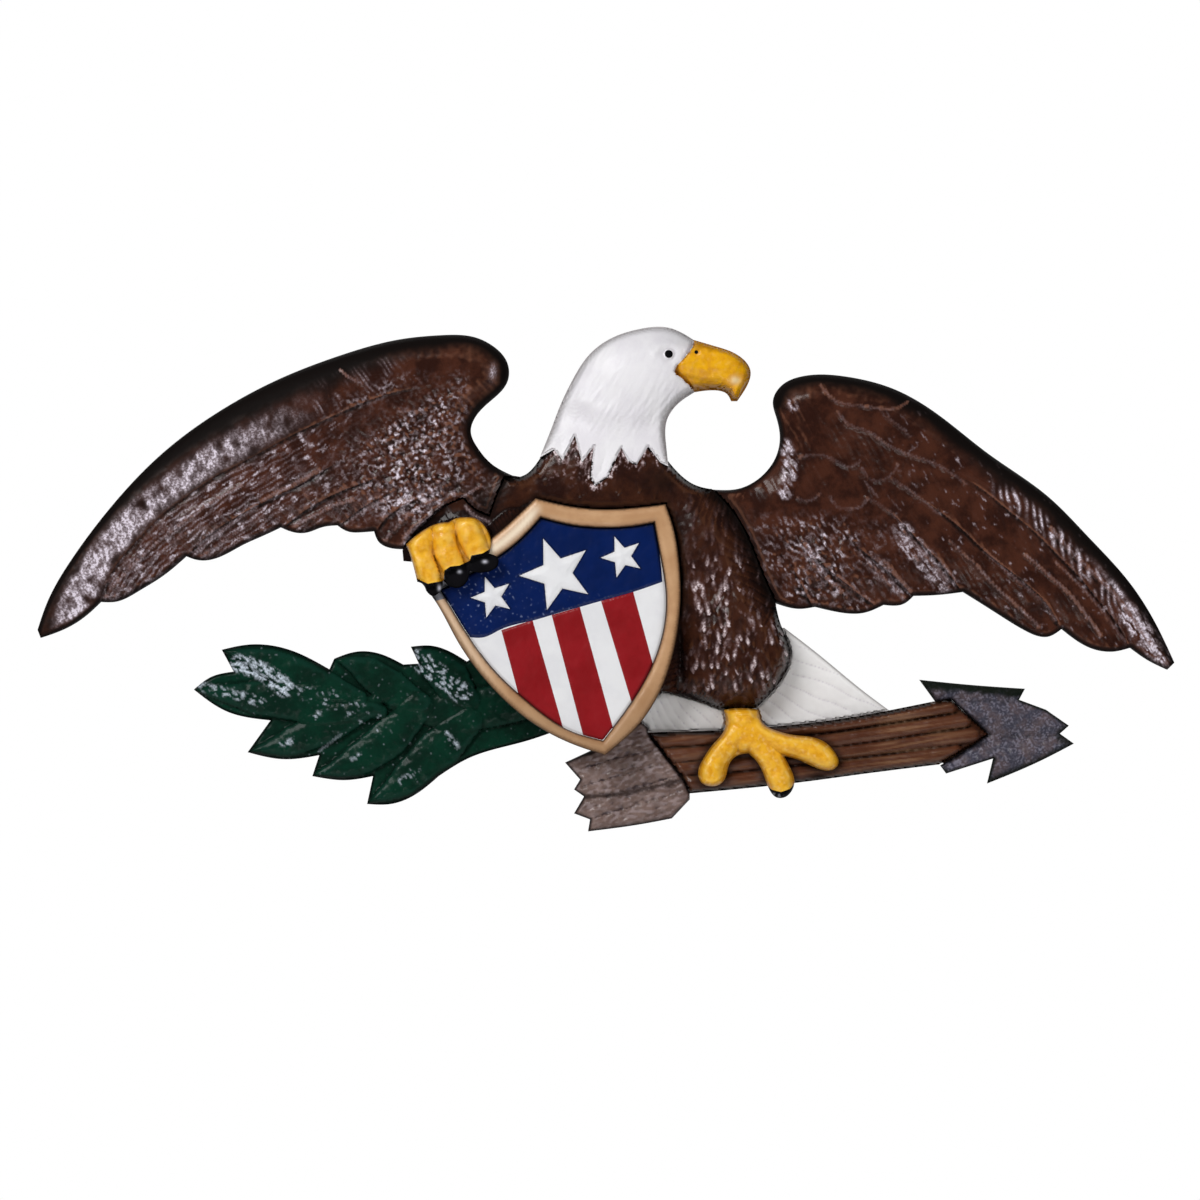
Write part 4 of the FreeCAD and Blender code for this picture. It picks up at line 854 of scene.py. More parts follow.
def grown(ring, by):
    """Move a ring outwards by a distance."""
    run = np.roll(ring, -1, 0) - np.roll(ring, 1, 0)
    out = np.column_stack([run[:, 1], -run[:, 0]])
    out /= np.maximum(np.hypot(out[:, 0], out[:, 1]), 1e-9)[:, None]
    area = np.sum(ring[:, 0] * np.roll(ring[:, 1], -1) - ring[:, 1] * np.roll(ring[:, 0], -1))
    moved = ring + out * by * (1 if area > 0 else -1)
    away = np.abs(follow(moved, ring, True)[1])
    return moved[away > abs(by) * 0.9]


def seams(*rings, gap=GAP):
    """List the lines that a relief steps down along beside other castings."""
    return [(line, True) for ring in rings for line in (ring, grown(ring, gap))]


def dome(points, centre, reach, base, front):
    """Give the depth of an egg-shaped dome over a photo point."""
    u = (across(points) - centre[0]) / reach[0]
    v = (down(points) - centre[1]) / reach[1]
    return base + (front - base) * np.sqrt(np.clip(1 - u * u - v * v, 0, 1))


def tufts(points, spots, seed):
    """Raise small overlapping feathers, and tell how near each point is to a feather's rib.

    Each spot holds the root in photo pixels, the heading in degrees from straight down
    towards the right, the length and the width in pixels and the rise in millimetres.
    """
    depth, rib = np.zeros(len(points)), np.zeros(len(points))
    rng = np.random.default_rng(seed)
    u, v = across(points), down(points)
    for u0, v0, heading, length, wide, rise in spots:
        turn = math.radians(heading + rng.uniform(-16, 16))
        high, bright = rise * rng.uniform(0.5, 1.2), rng.uniform(0, 1)
        here = np.flatnonzero((np.abs(u - u0) < length) & (np.abs(v - v0) < length))
        along = (u[here] - u0) * math.sin(turn) + (v[here] - v0) * math.cos(turn)
        side = (u[here] - u0) * math.cos(turn) - (v[here] - v0) * math.sin(turn)
        share = np.clip(along / length, 0, 1)
        half = wide / 2 * np.sqrt(np.sin(np.pi * share ** 0.62))
        body = 1 - (side / np.maximum(half, 0.1)) ** 2
        lift = high * share * np.sqrt(np.clip(body, 0, 1))
        higher = (body > 0) & (lift > depth[here])
        depth[here[higher]] = lift[higher]
        mark = share * np.clip(1.4 - np.abs(side) / 1.8, 0, 1) * (bright > 0.5)
        rib[here[higher]] = mark[higher]
    return depth, rib


# Wings
LEFT_BORDERS_PX = [
    [(97, 603), (105, 582), (120, 558), (140, 536), (165, 511), (190, 493), (215, 476),
     (240, 463), (280, 441), (330, 417), (395, 392), (440, 385)],
    [(183, 558), (200, 541), (220, 526), (245, 511), (270, 498), (300, 484), (330, 466),
     (362, 452)],
    [(279, 529), (300, 513), (325, 498), (350, 487), (378, 476), (400, 462)],
    [(336, 527), (352, 514), (372, 501), (395, 490), (420, 477)],
    [(373, 534), (385, 518), (402, 506), (425, 495), (446, 486)],
    [(402, 551), (412, 534), (425, 520), (443, 508), (464, 499)],
]
RIGHT_BORDERS_PX = [
    [(1133, 650), (1120, 625), (1100, 600), (1080, 576), (1060, 556), (1040, 536),
     (1010, 511), (975, 484), (940, 466)],
    [(1064, 631), (1050, 606), (1030, 586), (1010, 570), (990, 555), (970, 536), (940, 511),
     (905, 488)],
    [(965, 594), (955, 580), (940, 561), (920, 541), (900, 520), (872, 500)],
    [(915, 598), (895, 576), (875, 560), (852, 540), (835, 522)],
    [(880, 608), (850, 586), (830, 570), (806, 548), (794, 530)],
    [(815, 609), (805, 590), (795, 570), (785, 545)],
]
# Each rachis or barb line as photo points, its width and its height in millimetres
LEFT_LINES_PX = [
    ([(103, 597), (125, 572), (150, 548), (180, 524), (208, 504), (240, 486)], 1.4, 0.9),
    ([(112, 596), (140, 568), (165, 548), (190, 530)], 1.1, 0.6),
    ([(104, 584), (128, 562), (150, 542), (172, 524), (196, 506)], 1.0, 0.5),
    ([(192, 553), (214, 535), (238, 518), (256, 506)], 1.6, 0.9),
    ([(200, 556), (222, 541), (246, 526), (266, 514)], 1.1, 0.6),
    ([(292, 526), (312, 516), (332, 506), (352, 500)], 1.6, 0.9),
    ([(262, 500), (288, 486), (318, 470)], 1.3, 0.7),
    ([(345, 524), (366, 508), (388, 498)], 1.4, 0.7),
    ([(384, 540), (400, 522), (420, 506), (436, 500)], 1.4, 0.7),
    ([(404, 537), (416, 527), (430, 517), (443, 509)], 2.2, 1.4),
    ([(438, 482), (443, 492), (456, 495)], 1.4, 0.7),
    ([(462, 498), (472, 491), (480, 486)], 1.2, 0.5),
    ([(398, 411), (410, 411), (425, 412)], 1.6, 0.7),
    ([(340, 370), (350, 378), (362, 384)], 1.3, 0.6),
]
RIGHT_LINES_PX = [
    ([(1052, 528), (1070, 549), (1100, 578), (1122, 602), (1142, 630), (1156, 648)], 2.0, 1.3),
    ([(1056, 562), (1085, 590), (1108, 617), (1128, 644)], 1.3, 0.8),
    ([(1026, 555), (1048, 574), (1070, 594), (1088, 616), (1102, 635)], 1.6, 1.1),
    ([(985, 552), (1006, 570), (1030, 590), (1048, 606), (1057, 620)], 1.5, 0.9),
    ([(978, 566), (1000, 590), (1018, 606), (1040, 626)], 1.5, 1.0),
    ([(950, 541), (962, 552), (974, 562)], 1.2, 0.7),
    ([(916, 556), (930, 572), (944, 586)], 1.3, 0.8),
    ([(905, 532), (922, 552), (940, 572), (950, 586)], 1.3, 0.8),
    ([(870, 562), (888, 582), (906, 597)], 1.3, 0.8),
    ([(884, 560), (900, 578), (912, 592)], 1.2, 0.7),
    ([(806, 545), (814, 560), (826, 576), (842, 592)], 1.8, 1.2),
    ([(838, 578), (852, 588), (866, 598)], 1.4, 0.8),
    ([(802, 585), (810, 598), (816, 604)], 1.3, 0.7),
    ([(821, 385), (827, 394), (835, 401), (850, 405), (866, 407)], 1.3, 0.6),
    ([(866, 407), (882, 409), (897, 408), (908, 402)], 1.3, 0.5),
    ([(838, 412), (848, 424), (866, 431), (886, 444), (905, 453), (925, 460), (946, 470),
      (966, 484)], 1.3, 0.6),
    ([(886, 417), (898, 426), (910, 437)], 1.3, 0.5),
    ([(800, 457), (820, 455), (836, 461), (850, 467), (860, 461)], 1.3, 0.5),
    ([(862, 468), (870, 479), (882, 480), (892, 474), (898, 464)], 1.3, 0.5),
    ([(866, 482), (872, 490), (878, 497)], 1.6, 0.7),
    ([(893, 479), (908, 489), (923, 500), (938, 514)], 1.4, 0.6),
    ([(798, 498), (808, 501), (820, 494)], 1.3, 0.5),
    ([(830, 496), (837, 506), (850, 509), (862, 506), (868, 498)], 1.5, 0.6),
    ([(868, 498), (882, 506), (896, 517), (906, 532)], 1.4, 0.6),
]


class Wing:
    """One wing's lines, with the measures that its relief and its paint share.

    edge is the wing's upper edge from the body to the tip. crest holds depths and band the
    width of the band of painted shade along that edge in millimetres, each over photo u.
    lean is the heading of the feathers' grain in degrees.
    """

    def __init__(self, edge, borders, lines, trailing, crest, band, lean, seed):
        self.inner, self.leading = edge[:8], edge[6:]
        self.borders, self.lines, self.trailing = borders, lines, trailing
        self.crest, self.band, self.lean, self.seed = crest, band, lean, seed

    def measure(self, points):
        """Measure the gap to the leading edge, the sides of the borders and the feathers."""
        self.top = np.abs(follow(points, smooth_line(self.leading))[1])
        middle = on_wall([self.leading[len(self.leading) // 2]])
        self.sides = []
        for border in self.borders:
            line = smooth_line(border)
            place, away, length = follow(points, line)
            turn = 1 if follow(middle, line)[1][0] > 0 else -1
            self.sides.append((away * turn, soft(length - place, 0, 40)))
        self.number = np.full(len(points), len(self.sides))
        for i in range(len(self.sides) - 1, -1, -1):
            self.number[self.sides[i][0] > -0.2] = i
        self.below = np.zeros(len(points))
        for i, (side, _) in enumerate(self.sides):
            self.below = np.where(self.number == i + 1, np.clip(-side, 0, None), self.below)
        band = np.maximum(self.sides[0][0], 0)
        self.share = np.where(self.number == 0, self.top / np.maximum(self.top + band, 0.1), 2)

    def relief(self, points, stipple):
        """Give the depth: a thick arm and feathers that each lie over the next."""
        seed, u = self.seed, across(points)
        height = np.interp(u, *self.crest)
        rim = np.minimum(self.top, beside(points, self.inner))
        rise = np.sin(np.pi / 2 * np.clip(rim / 17, 0, 1)) ** 0.75
        arm = 8.5 + (height - 8.5) * rise - (height - 14.5) * 0.9 * soft(self.top, 14, 75)
        base = 9.4 + (arm - 9.4) * soft(beside(points, self.trailing), 0, 27)
        lead_fade = self.sides[0][1]
        low = 7.5 + (base + 0.7 - 7.5) * self.share
        bulge = np.sin(np.pi * np.clip(self.share, 0, 1) ** 0.8) ** 0.75
        lead = low + (np.maximum(height, low + 1) - low) * bulge
        depth = np.where(self.number == 0, base + (lead - base) * lead_fade, base)
        for i, (side, taper) in enumerate(self.sides):
            here, above = self.number == i + 1, np.clip(-side, 0, None)
            depth -= here * 0.5 * taper * bell(above, 2.6)
            if i + 1 < len(self.sides):
                below = np.clip(self.sides[i + 1][0], 0, None)
                lap = above / (above + below + 0.1)
                depth += here * self.sides[i + 1][1] * 1.2 * lap ** 1.6
                depth += here * taper * 0.7 * np.sin(np.pi * lap)
        depth += 0.28 * lumps(points, 2.6, seed, 22, self.lean + 24) * (self.number > 0)
        depth += (0.14 + 0.85 * stipple) * (lumps(points, 4.2, seed + 1)
                                            + 0.5 * lumps(points, 2.4, seed + 2))
        return depth

    def dark(self, points, gap):
        """Paint shade on the leading edge, in the creases between feathers and along the edge."""
        wide = np.interp(across(points), *self.band) * (1.1 + 0.15 * lumps(points, 13, 31))
        dark = fade(self.top, wide * 0.5, wide * 1.4)
        dark = np.maximum(dark, 0.9 * fade(gap, 0.5, 4.2))
        for i, (side, taper) in enumerate(self.sides):
            above = np.clip(-side, 0, None)
            dark = np.maximum(dark, (self.number == i + 1) * taper * 0.42 * bell(above, 2.6))
        return dark

    def strokes(self, points, pitch):
        """Draw fine broken strokes along the feathers, at even distances from their borders."""
        wave = np.cos((self.below / pitch + 0.35 * lumps(points, 9, 70)) * math.tau)
        broken = soft(lumps(points, 3, 71, 14, 40), -0.5, 0.3)
        return (self.number > 0) * soft(wave, 0.1, 0.9) * broken

    def scribe(self, points, depth, dark, sheen_and_flecks, bright=0.7):
        """Raise the lines of the feathers and paint a highlight on them."""
        for i, (line, wide, high) in enumerate(self.lines):
            away = beside(points, line, 3)
            drawn = arch(away, wide * 0.5)
            broken = 0.7 + 0.45 * lumps(points, 5, 40 + i)
            depth = depth + high * 0.8 * arch(away, wide)
            sheen_and_flecks = np.maximum(sheen_and_flecks, drawn * bright * broken * min(0.1 + 0.4 * high, 0.6))
            dark = dark * (1 - drawn)
        return depth, dark, np.clip(sheen_and_flecks, 0, 1) * (1 - 0.85 * dark)

    def seam_lines(self):
        """List the lines that the wing's mesh keeps as edges."""
        drawn = self.borders + [line for line, _, _ in self.lines]
        return [(smooth_line(line), False) for line in drawn] + seams(BODY, gap=TIGHT)


LEFT = Wing(LEFT_WING_PX[0], LEFT_BORDERS_PX, LEFT_LINES_PX, trailing=[
            (38, 638), (62, 629), (98, 602), (112, 602), (160, 576), (184, 556), (214, 558),
             (279, 527), (306, 532), (336, 525), (373, 531), (390, 548)],
            crest=([35, 100, 200, 300, 400, 470, 500, 520],
                   [9.4, 12.5, 16.5, 20.5, 24, 24.5, 21, 16]),
            band=([35, 100, 160, 250, 330, 400, 470, 507], [3, 6, 10, 17, 18, 12, 8, 7]),
            lean=-68, seed=11)
RIGHT = Wing(RIGHT_WING_PX[0], RIGHT_BORDERS_PX, RIGHT_LINES_PX, trailing=[
             (1170, 670), (1133, 648), (1095, 649), (1064, 629), (1028, 631), (965, 592),
              (915, 596), (885, 605), (838, 612), (816, 607), (790, 607)],
             crest=([762, 780, 810, 880, 960, 1040, 1120, 1177],
                    [14, 20, 23.5, 24, 20, 16.5, 12, 9.4]),
             band=([774, 850, 930, 1000, 1060, 1130, 1177], [8, 8, 11, 12, 11, 8, 3]),
             lean=-84, seed=23)


def left_form(points, gap):
    """Form the left wing, with a painted sheen of light on the lower half of the leading feather.
    """
    LEFT.measure(points)
    u, v = across(points), down(points)
    number, share, top = LEFT.number, LEFT.share, LEFT.top
    stipple = bell(u - 415, 66) * soft(top, 20, 36) * soft(gap, 2, 8) * soft(535 - v, 0, 30)
    smooth = beside(points, [(296, 452), (345, 430), (395, 404), (440, 378)])
    stipple *= 0.15 + 0.85 * soft(smooth, 5, 14)
    hatch = barbs(points, 3.9, -66, 51)
    tip = soft(170 - u, 0, 70)
    lower = soft(share, 0.34 - 0.2 * tip, 0.54 - 0.16 * tip) * soft(1.02 - share, 0, 0.2)
    lower = lower * (number == 0) * soft(gap, 1.5, 5.0)
    outer = soft(340 - u, 0, 150)
    sheen = (lower * outer * (0.5 + 0.5 * hatch) * soft(lumps(points, 8, 52), -0.9, 0.3)
             * (0.5 + 0.5 * soft(lumps(points, 4, 74, 11, 62), -0.6, 0.3)))
    patch = soft(share, 0.25, 0.4) * soft(0.95 - share, 0, 0.2) * (number == 0)
    upper = patch * soft(u, 300, 330) * soft(415 - u, 0, 40)
    row = bell(v - 503 + 0.1 * (u - 400), 9) * bell(u - 405, 32)
    hem = bell(beside(points, [(408, 546), (424, 531), (446, 512)], 12), 3.5)
    others = (number > 0) * soft(400 - u, 0, 120)
    glint = bell(u - 493, 3.5) * bell(v - 372 + 0.5 * (u - 493), 7)
    # Painted sheen on the leading feather, a painted glint at the shoulder and one along the last
    # feather's edge, with pale flecks and strokes on the coverts and feathers
    sheen_and_flecks = greatest(
        1.35 * sheen,
        0.6 * upper * barbs(points, 3.4, -50, 53) * soft(lumps(points, 9, 54), -0.2, 0.4),
        0.72 * stipple * patchy(points, (2.8, 55, -0.02), (7, 56, -0.15)),
        0.75 * row * flecks(points, 2.6, 57, -0.1, 6, 20),
        0.8 * hem * flecks(points, 2.4, 72, -0.2, 6, 40),
        0.6 * others * patchy(points, (2.0, 58, 0.05, 7, 36), (8, 59, 0.0), 0.75),
        0.42 * soft(330 - u, 0, 90) * LEFT.strokes(points, 3.6),
        0.7 * glint)
    depth = LEFT.relief(points, stipple) + 0.45 * hatch * lower * soft(400 - u, 0, 60)
    # Painted shade along the shoulder's inner edge and in the hollow above the claw
    dark = greatest(LEFT.dark(points, gap), soft(u, 440, 480) * fade(gap, 2, 8),
                    0.8 * bell(u - 486, 34) * bell(v - 506, 26))
    depth, dark, sheen_and_flecks = LEFT.scribe(points, depth, dark, sheen_and_flecks)
    joint = clear_of(points, BODY, 20)
    # The outer leading feather is made darker, and shade is painted where the wing meets the
    # body.
    dark = greatest(dark, 0.6 * (number == 0) * soft(330 - u, 0, 60),
                    0.55 * fade(joint, 0.5, 6) * soft(u, 450, 470))
    depth = settled(depth, 18, 1 - fade(joint, -2, 14) * soft(u, 450, 475))
    depth = settled(depth, THIN_EDGE, rounded(gap, 3.6))
    return under(depth, points, BODY, ROOT - HAIR, TIGHT), dark, sheen_and_flecks


# Each patch of painted sheen as its middle line in photo points, its half width in
# millimetres and how bright it is
RIGHT_SHEEN_PX = [
    ([(902, 533), (914, 548), (930, 566), (946, 584)], 9, 0.55),
    ([(874, 562), (888, 578), (910, 596)], 6, 0.42),
    ([(1130, 612), (1146, 634), (1168, 660)], 9, 0.9),
    ([(806, 545), (816, 562), (824, 572)], 4, 0.6),
    ([(786, 446), (790, 465), (785, 492)], 6, 0.85),
    ([(790, 403), (794, 407)], 4, 0.7),
]


def right_form(points, gap):
    """Form the right wing, with patches of painted sheen, barbs behind the leading edge and
    painted glints.
    """
    RIGHT.measure(points)
    u, v = across(points), down(points)
    number, top = RIGHT.number, RIGHT.top
    stipple = bell(u - 812, 58) * soft(v, 505, 535) * soft(gap + 0.12 * (u - 780), 2, 12)
    hatch = barbs(points, 5.0, -80, 61)
    behind = (number == 0) * soft(top, 9, 13) * soft(26 - top, 0, 8)
    rows = soft(u, 985, 1010) * soft(1150 - u, 0, 60) * behind
    rest = soft(u, 850, 960) * flecks(points, 2.0, 65, 0.35, 5, -48)
    # Painted sheen: pale barbs behind the leading edge, flecks on the coverts and a line of sheen
    # near the tip
    sheen_and_flecks = greatest(
        1.5 * rows * hatch ** 1.4 * soft(lumps(points, 7, 62), -0.6, 0.1),
        0.72 * stipple * patchy(points, (2.4, 63, 0.04, 5, -50), (9, 64, 0.0)),
        0.4 * rest * flecks(points, 8, 67, 0.0),
        0.95 * bell(top - 9.5, 1.8) * soft(u, 1085, 1120) * soft(lumps(points, 5, 68), -0.6, 0.2))
    # Patches of painted sheen and glints
    grain = patchy(points, (2.0, 60, -0.3, 7, -50), (5, 66, -0.2), 0.6)
    for line, half, bright in RIGHT_SHEEN_PX:
        sheen_and_flecks = np.maximum(sheen_and_flecks, bright * soft(half - beside(points, line, 12), 0, 4) * grain)
    depth = RIGHT.relief(points, 0.75 * stipple) + 0.5 * hatch * rows
    joint = clear_of(points, BODY, 30)
    inner = soft(760 - u, 0, 60) * soft(v, 486, 500)
    # Painted shade where the wing meets the body
    dark = np.maximum(RIGHT.dark(points, gap), 0.75 * fade(joint, 1.5, 9) * (0.8 + 0.2 * inner))
    depth, dark, sheen_and_flecks = RIGHT.scribe(points, depth, dark, sheen_and_flecks, 0.42)
    depth = settled(depth, 17.5, soft(joint, -3, 18))
    depth = settled(depth, THIN_EDGE, rounded(gap, 3.6))
    return under(depth, points, BODY, ROOT - HAIR, TIGHT), dark, sheen_and_flecks


cast("left_wing_relief", "left_wing_casting", [ring_of(LEFT_WING_PX)],
     left_form, 0, [WING_BROWN], lines=LEFT.seam_lines(),
     levels=[(on_wall(LEFT_CORES_PX[0]), ARM_CORE), (on_wall(LEFT_CORES_PX[1]), TIP_CORE),
             *hanger_levels(-1), *recesses(WING_SCREWS_PX[:2])])
cast("right_wing_relief", "right_wing_casting", [ring_of(RIGHT_WING_PX)],
     right_form, 0, [WING_BROWN], lines=RIGHT.seam_lines(),
     levels=[(on_wall(RIGHT_CORES_PX[0]), ARM_CORE), (on_wall(RIGHT_CORES_PX[1]), TIP_CORE),
             *hanger_levels(1), *recesses(WING_SCREWS_PX[2:])])


# Body
def body_tufts():
    """Place the tufts of the chest, the flank and the thigh, row under row."""
    rng = np.random.default_rng(5)
    spots = []
    for row, v in enumerate(range(488, 692, 9)):
        for u in range(640, 800, 8):
            rise = 0.4 + 0.9 * soft(v, 540, 600) * soft(u, 676, 700)
            spots.append((u + (row % 2) * 4 + rng.uniform(-3, 3), v + rng.uniform(-4, 4),
                          (u - 735) * 0.16 + 6, rng.uniform(12, 21), rng.uniform(5, 8.5), rise))
    for u in range(520, 664, 12):
        spots.append((u + rng.uniform(-3, 3), 462 + rng.uniform(0, 22), rng.uniform(-25, 5),
                      rng.uniform(16, 24), rng.uniform(9, 13), 0.7))
    return spots


# The stretches of the body's outline where a wing meets it, their depth and how much shade
# is painted along them
JOINTS = [(BODY_PX[5], 18.0, 0.85), (BODY_PX[14], 11.0, 0.3), (BODY_PX[15], 18.0, 0.3),
          (BODY_PX[16], 18.0, 0.3)]


def body_swell(points):
    """Give the plain swelling of the chest, the flank and the thigh."""
    depth = np.full(len(points), 17.0)
    for centre, reach, front in [((606, 482), (112, 82), 36.0), ((712, 560), (76, 112), 36.5),
                                 ((738, 640), (62, 90), 42.0)]:
        depth = either(depth, dome(points, centre, reach, ROOT, front), 6.0)
    return depth


def body_form(points, _gap):
    """Form the body: chest, flank and thigh, and flat seats for the shield and the claw."""
    u, v = across(points), down(points)
    lift, rib = tufts(points, body_tufts(), 6)
    depth = body_swell(points) + lift * soft(u, 500, 560) + 0.2 * lumps(points, 4, 61)
    free = clear_of(points, BODY, 15)
    low = soft(v, 640, 680)
    # Painted shade along the free edge, less of it low on the thigh
    dark = (0.9 - 0.7 * low) * fade(free, 0.4, 3.4 - 1.6 * low)
    for line, deep, shade in JOINTS:
        near = beside(points, line, 24)
        depth = settled(depth, deep, soft(near, -4, 20))
        dark = np.maximum(dark, shade * fade(near, 1, 12))
        free = np.where(near < free + 0.2, 15, free)
    depth = settled(depth, 10.5, rounded(free, 6.0 + 8 * low))
    over = clear_of(points, SHIELD, 12)
    depth = np.maximum(depth, SEAT - 1 - 1.3 * over)
    depth = np.where(near_to(points, SHIELD) | near_to(points, CLAW), SEAT - HAIR, depth)
    # Painted shadow below the shield's rim, less shade in the hollow by the claw, and painted
    # shade beside the neck
    dark = np.maximum(dark, (0.7 - 0.4 * low) * fade(over, 0, 6))
    dark *= 1 - 0.65 * soft(504 - u, 0, 20)
    dark = np.maximum(dark, 0.6 * bell(u - 662, 16) * bell(v - 481, 14))
    thigh = soft(v, 540, 580) * soft(u, 676, 700) * soft(698 - v, 0, 14)
    fold = beside(points, [(466, 507), (475, 516), (489, 522)], 3)
    depth += 0.5 * arch(fold, 1.4)
    # The white brush ran over the hem here and there.
    fringe = soft(4.5 - clear_of(points, HEAD, 9), 0, 4)
    # Painted glints on the thigh's tuft ribs, on the fold and on the chest, besides the white
    # flecks of paint on the hem
    sheen_and_flecks = greatest(
        1.15 * rib * thigh * soft(lumps(points, 9, 64), -0.3, 0.25),
        0.25 * thigh * flecks(points, 2.6, 66, 0.2, 6, 76) * flecks(points, 10, 67, -0.1),
        0.14 * rib * soft(u, 660, 700),
        0.4 * bell(fold, 0.8),
        0.4 * bell(u - 566, 22) * bell(v - 470, 13) * flecks(points, 2.4, 65, 0.25),
        0.85 * fringe * flecks(points, 1.5, 68, 0.05, 5, 82))
    return depth, dark, np.clip(sheen_and_flecks, 0, 1) * (1 - dark)


BOSSES_PX = TAIL_SCREWS_PX + BRANCH_SCREWS_PX + [WING_SCREWS_PX[3]]
cast("body_relief", "body_casting", [BODY], body_form, ROOT, [BODY_BROWN],
     holes=[grown(HEAD, 0.15)], lines=seams(SHIELD, CLAW),
     levels=[(on_wall(SHIELD_CORE_PX), BODY_CORE), (on_wall(THIGH_CORE_PX), THIGH_CORE),
             *[(disc(u, v, BOSS_RADIUS), ROOT) for u, v in BOSSES_PX],
             *[(disc(u, v, HEAD_RADIUS), BODY_CORE) for u, v in CLAW_SCREWS_PX]])

# Head
GAPE_PX = [(695, 391), (688, 385), (680, 378), (675, 374), (676, 368), (682, 361), (688, 354),
           (693, 346), (694, 339)]
BEAK = ring_of(HEAD_PX[1:4] + [GAPE_PX])
EYE_PX = (668.5, 355)
EYE_RADIUS = 2.7
NOSTRIL_PX = (696, 353)
NOSTRIL_RADIUS = 1.3
HEAD_ROOT = stretched([(574, 462), (645, 462), (645, 508), (574, 508)])
HEM = ring_of(HEAD_PX[5:])
MOUTH_PX = [(676, 373), (690, 378), (704, 381), (718, 381), (732, 386)]


def head_form(points, _gap):
    """Form the head: skull, neck, hooked beak and the root below the hem."""
    u, v = across(points), down(points)
    rim = clear_of(points, HEAD, 12)
    hem = apart(points, HEM, 24)
    depth = either(dome(points, (640, 376), (74, 60), 0, 36.5),
                   dome(points, (612, 428), (80, 92), 0, 35.5), 6.0)
    strokes = (0.6 * lumps(points, 3.4, 71, long=24, lean=66)
               + 0.5 * lumps(points, 2.2, 72, long=14, lean=56)
               + 0.25 * lumps(points, 1.6, 73, long=7, lean=70))
    depth += strokes * (0.25 + 0.5 * soft(v, 360, 440))
    away = np.hypot(u - EYE_PX[0], v - EYE_PX[1]) * PIXEL_MM
    depth -= 0.7 * soft(7.5 - away, 0, 4)
    depth += 1.6 * arch(away, 3.3)
    depth += 1.0 * bell(beside(points, [(654, 352), (664, 346), (676, 346), (688, 350)], 9), 2.6)
    beak = within(points, BEAK)
    edge = clear_of(points, BEAK, 6)
    spine = beside(points, [(686, 358), (712, 362), (732, 371), (740, 386), (737, 398)])
    bill = 17.5 + 13.0 * arch(spine, 18.5) * soft(756 - u, 0, 34) ** 0.4
    mouth = beside(points, MOUTH_PX, 5)
    bill -= 0.45 * bell(mouth, 1.1)
    bill += 1.0 * bell(np.hypot((u - 706) / 9, (v - 346) / 6), 1) + 0.4 * lumps(points, 4.5, 74)
    hole = np.hypot((u - NOSTRIL_PX[0]) * 0.8, v - NOSTRIL_PX[1]) * PIXEL_MM
    bill -= 0.9 * soft(2.2 - hole, 0, 1.2)
    depth = np.where(beak, bill + 0.6 * soft(edge, 0, 1.4), depth)
    # The hem's points lie on the chest, the rest of the edge is round.
    free = np.where(hem < rim + 0.2, 9, rim)
    depth = settled(depth, 9.0, rounded(free, 4.6))
    laid = body_swell(points) + 1.3 * rounded(rim, 1.2)
    depth = np.where(beak, depth, laid + (depth - laid) * soft(hem, 0, 24))
    root = within(points, HEAD_ROOT) & ~within(points, HEAD)
    # Painted grey shade at the round edge and along the outline. On the beak, painted shade along
    # the mouth and the gape, and a ragged darker band along its top
    dark = 0.85 * fade(free, 0.2, 4.2) + 0.35 * fade(rim, 0.1, 1.0)
    dark = np.where(beak, np.maximum(dark * 0.8, 0.25 * bell(mouth, 0.9)), dark)
    ragged = soft(353 - v + 3 * lumps(points, 4, 75), 0, 4)
    dark = np.where(beak, np.maximum(dark, 0.55 * ragged), dark)
    dark = np.maximum(dark, 0.45 * bell(beside(points, GAPE_PX, 3), 0.8))
    # A painted highlight at the beak's tip, and faint pale flecks on the beak
    glint = bell(np.hypot((u - 735) / 5, (v - 381) / 4), 1)
    sheen_and_flecks = np.where(beak, 0.8 * glint + 0.06 * flecks(points, 3, 76, 0.2), 0)
    return np.where(root, ROOT - HAIR, depth), np.clip(dark, 0, 1), sheen_and_flecks


cast("head_relief", "head_casting", [HEAD, HEAD_ROOT], head_form, 0,
     [HEAD_WHITE, BEAK_YELLOW, TALON_BLACK], step=0.85,
     zones=[(BEAK, 1), (disc(*EYE_PX, EYE_RADIUS, 26), 2),
            (disc(*NOSTRIL_PX, NOSTRIL_RADIUS, 14), 2)],
     levels=[(on_wall(HEAD_CORE_PX), HEAD_CORE), *recesses(HEAD_SCREWS_PX)])


# Tail
def tail_form(points, gap):
    """Form the tail: a fan with fine rays."""
    u, v = across(points), down(points)
    angle = np.arctan2(u - 600, v - 600)
    rays = np.abs(np.sin(angle * 52 + 0.9 * lumps(points, 24, 80))) ** 0.6
    depth = 9.6 + 0.4 * rays + 0.15 * lumps(points, 5.0, 81)
    depth = settled(depth, 6.8, rounded(gap, 3.4))
    for ring in (BODY, SHAFTS, FOOT, FLETCHING):
        depth = under(depth, points, ring, ROOT - HAIR)
    near = np.minimum(clear_of(points, BODY, 9), clear_of(points, SHAFTS, 9))
    # Painted shade beside the body and the shafts and at the edge, and greyer lines painted in
    # the grooves between the rays
    dark = np.maximum(0.35 * fade(near, 0.3, 3), 0.6 * fade(gap, 0.2, 1.8))
    return depth, dark, 0.8 * soft(0.3 - rays, 0, 0.3)


cast("tail_relief", "tail_casting", [ring_of(TAIL_PX)], tail_form, 0,
     [TAIL_WHITE], lines=seams(BODY, SHAFTS, FOOT, FLETCHING),
     levels=recesses(TAIL_SCREWS_PX + SHAFT_SCREWS_PX + FOOT_SCREWS_PX))

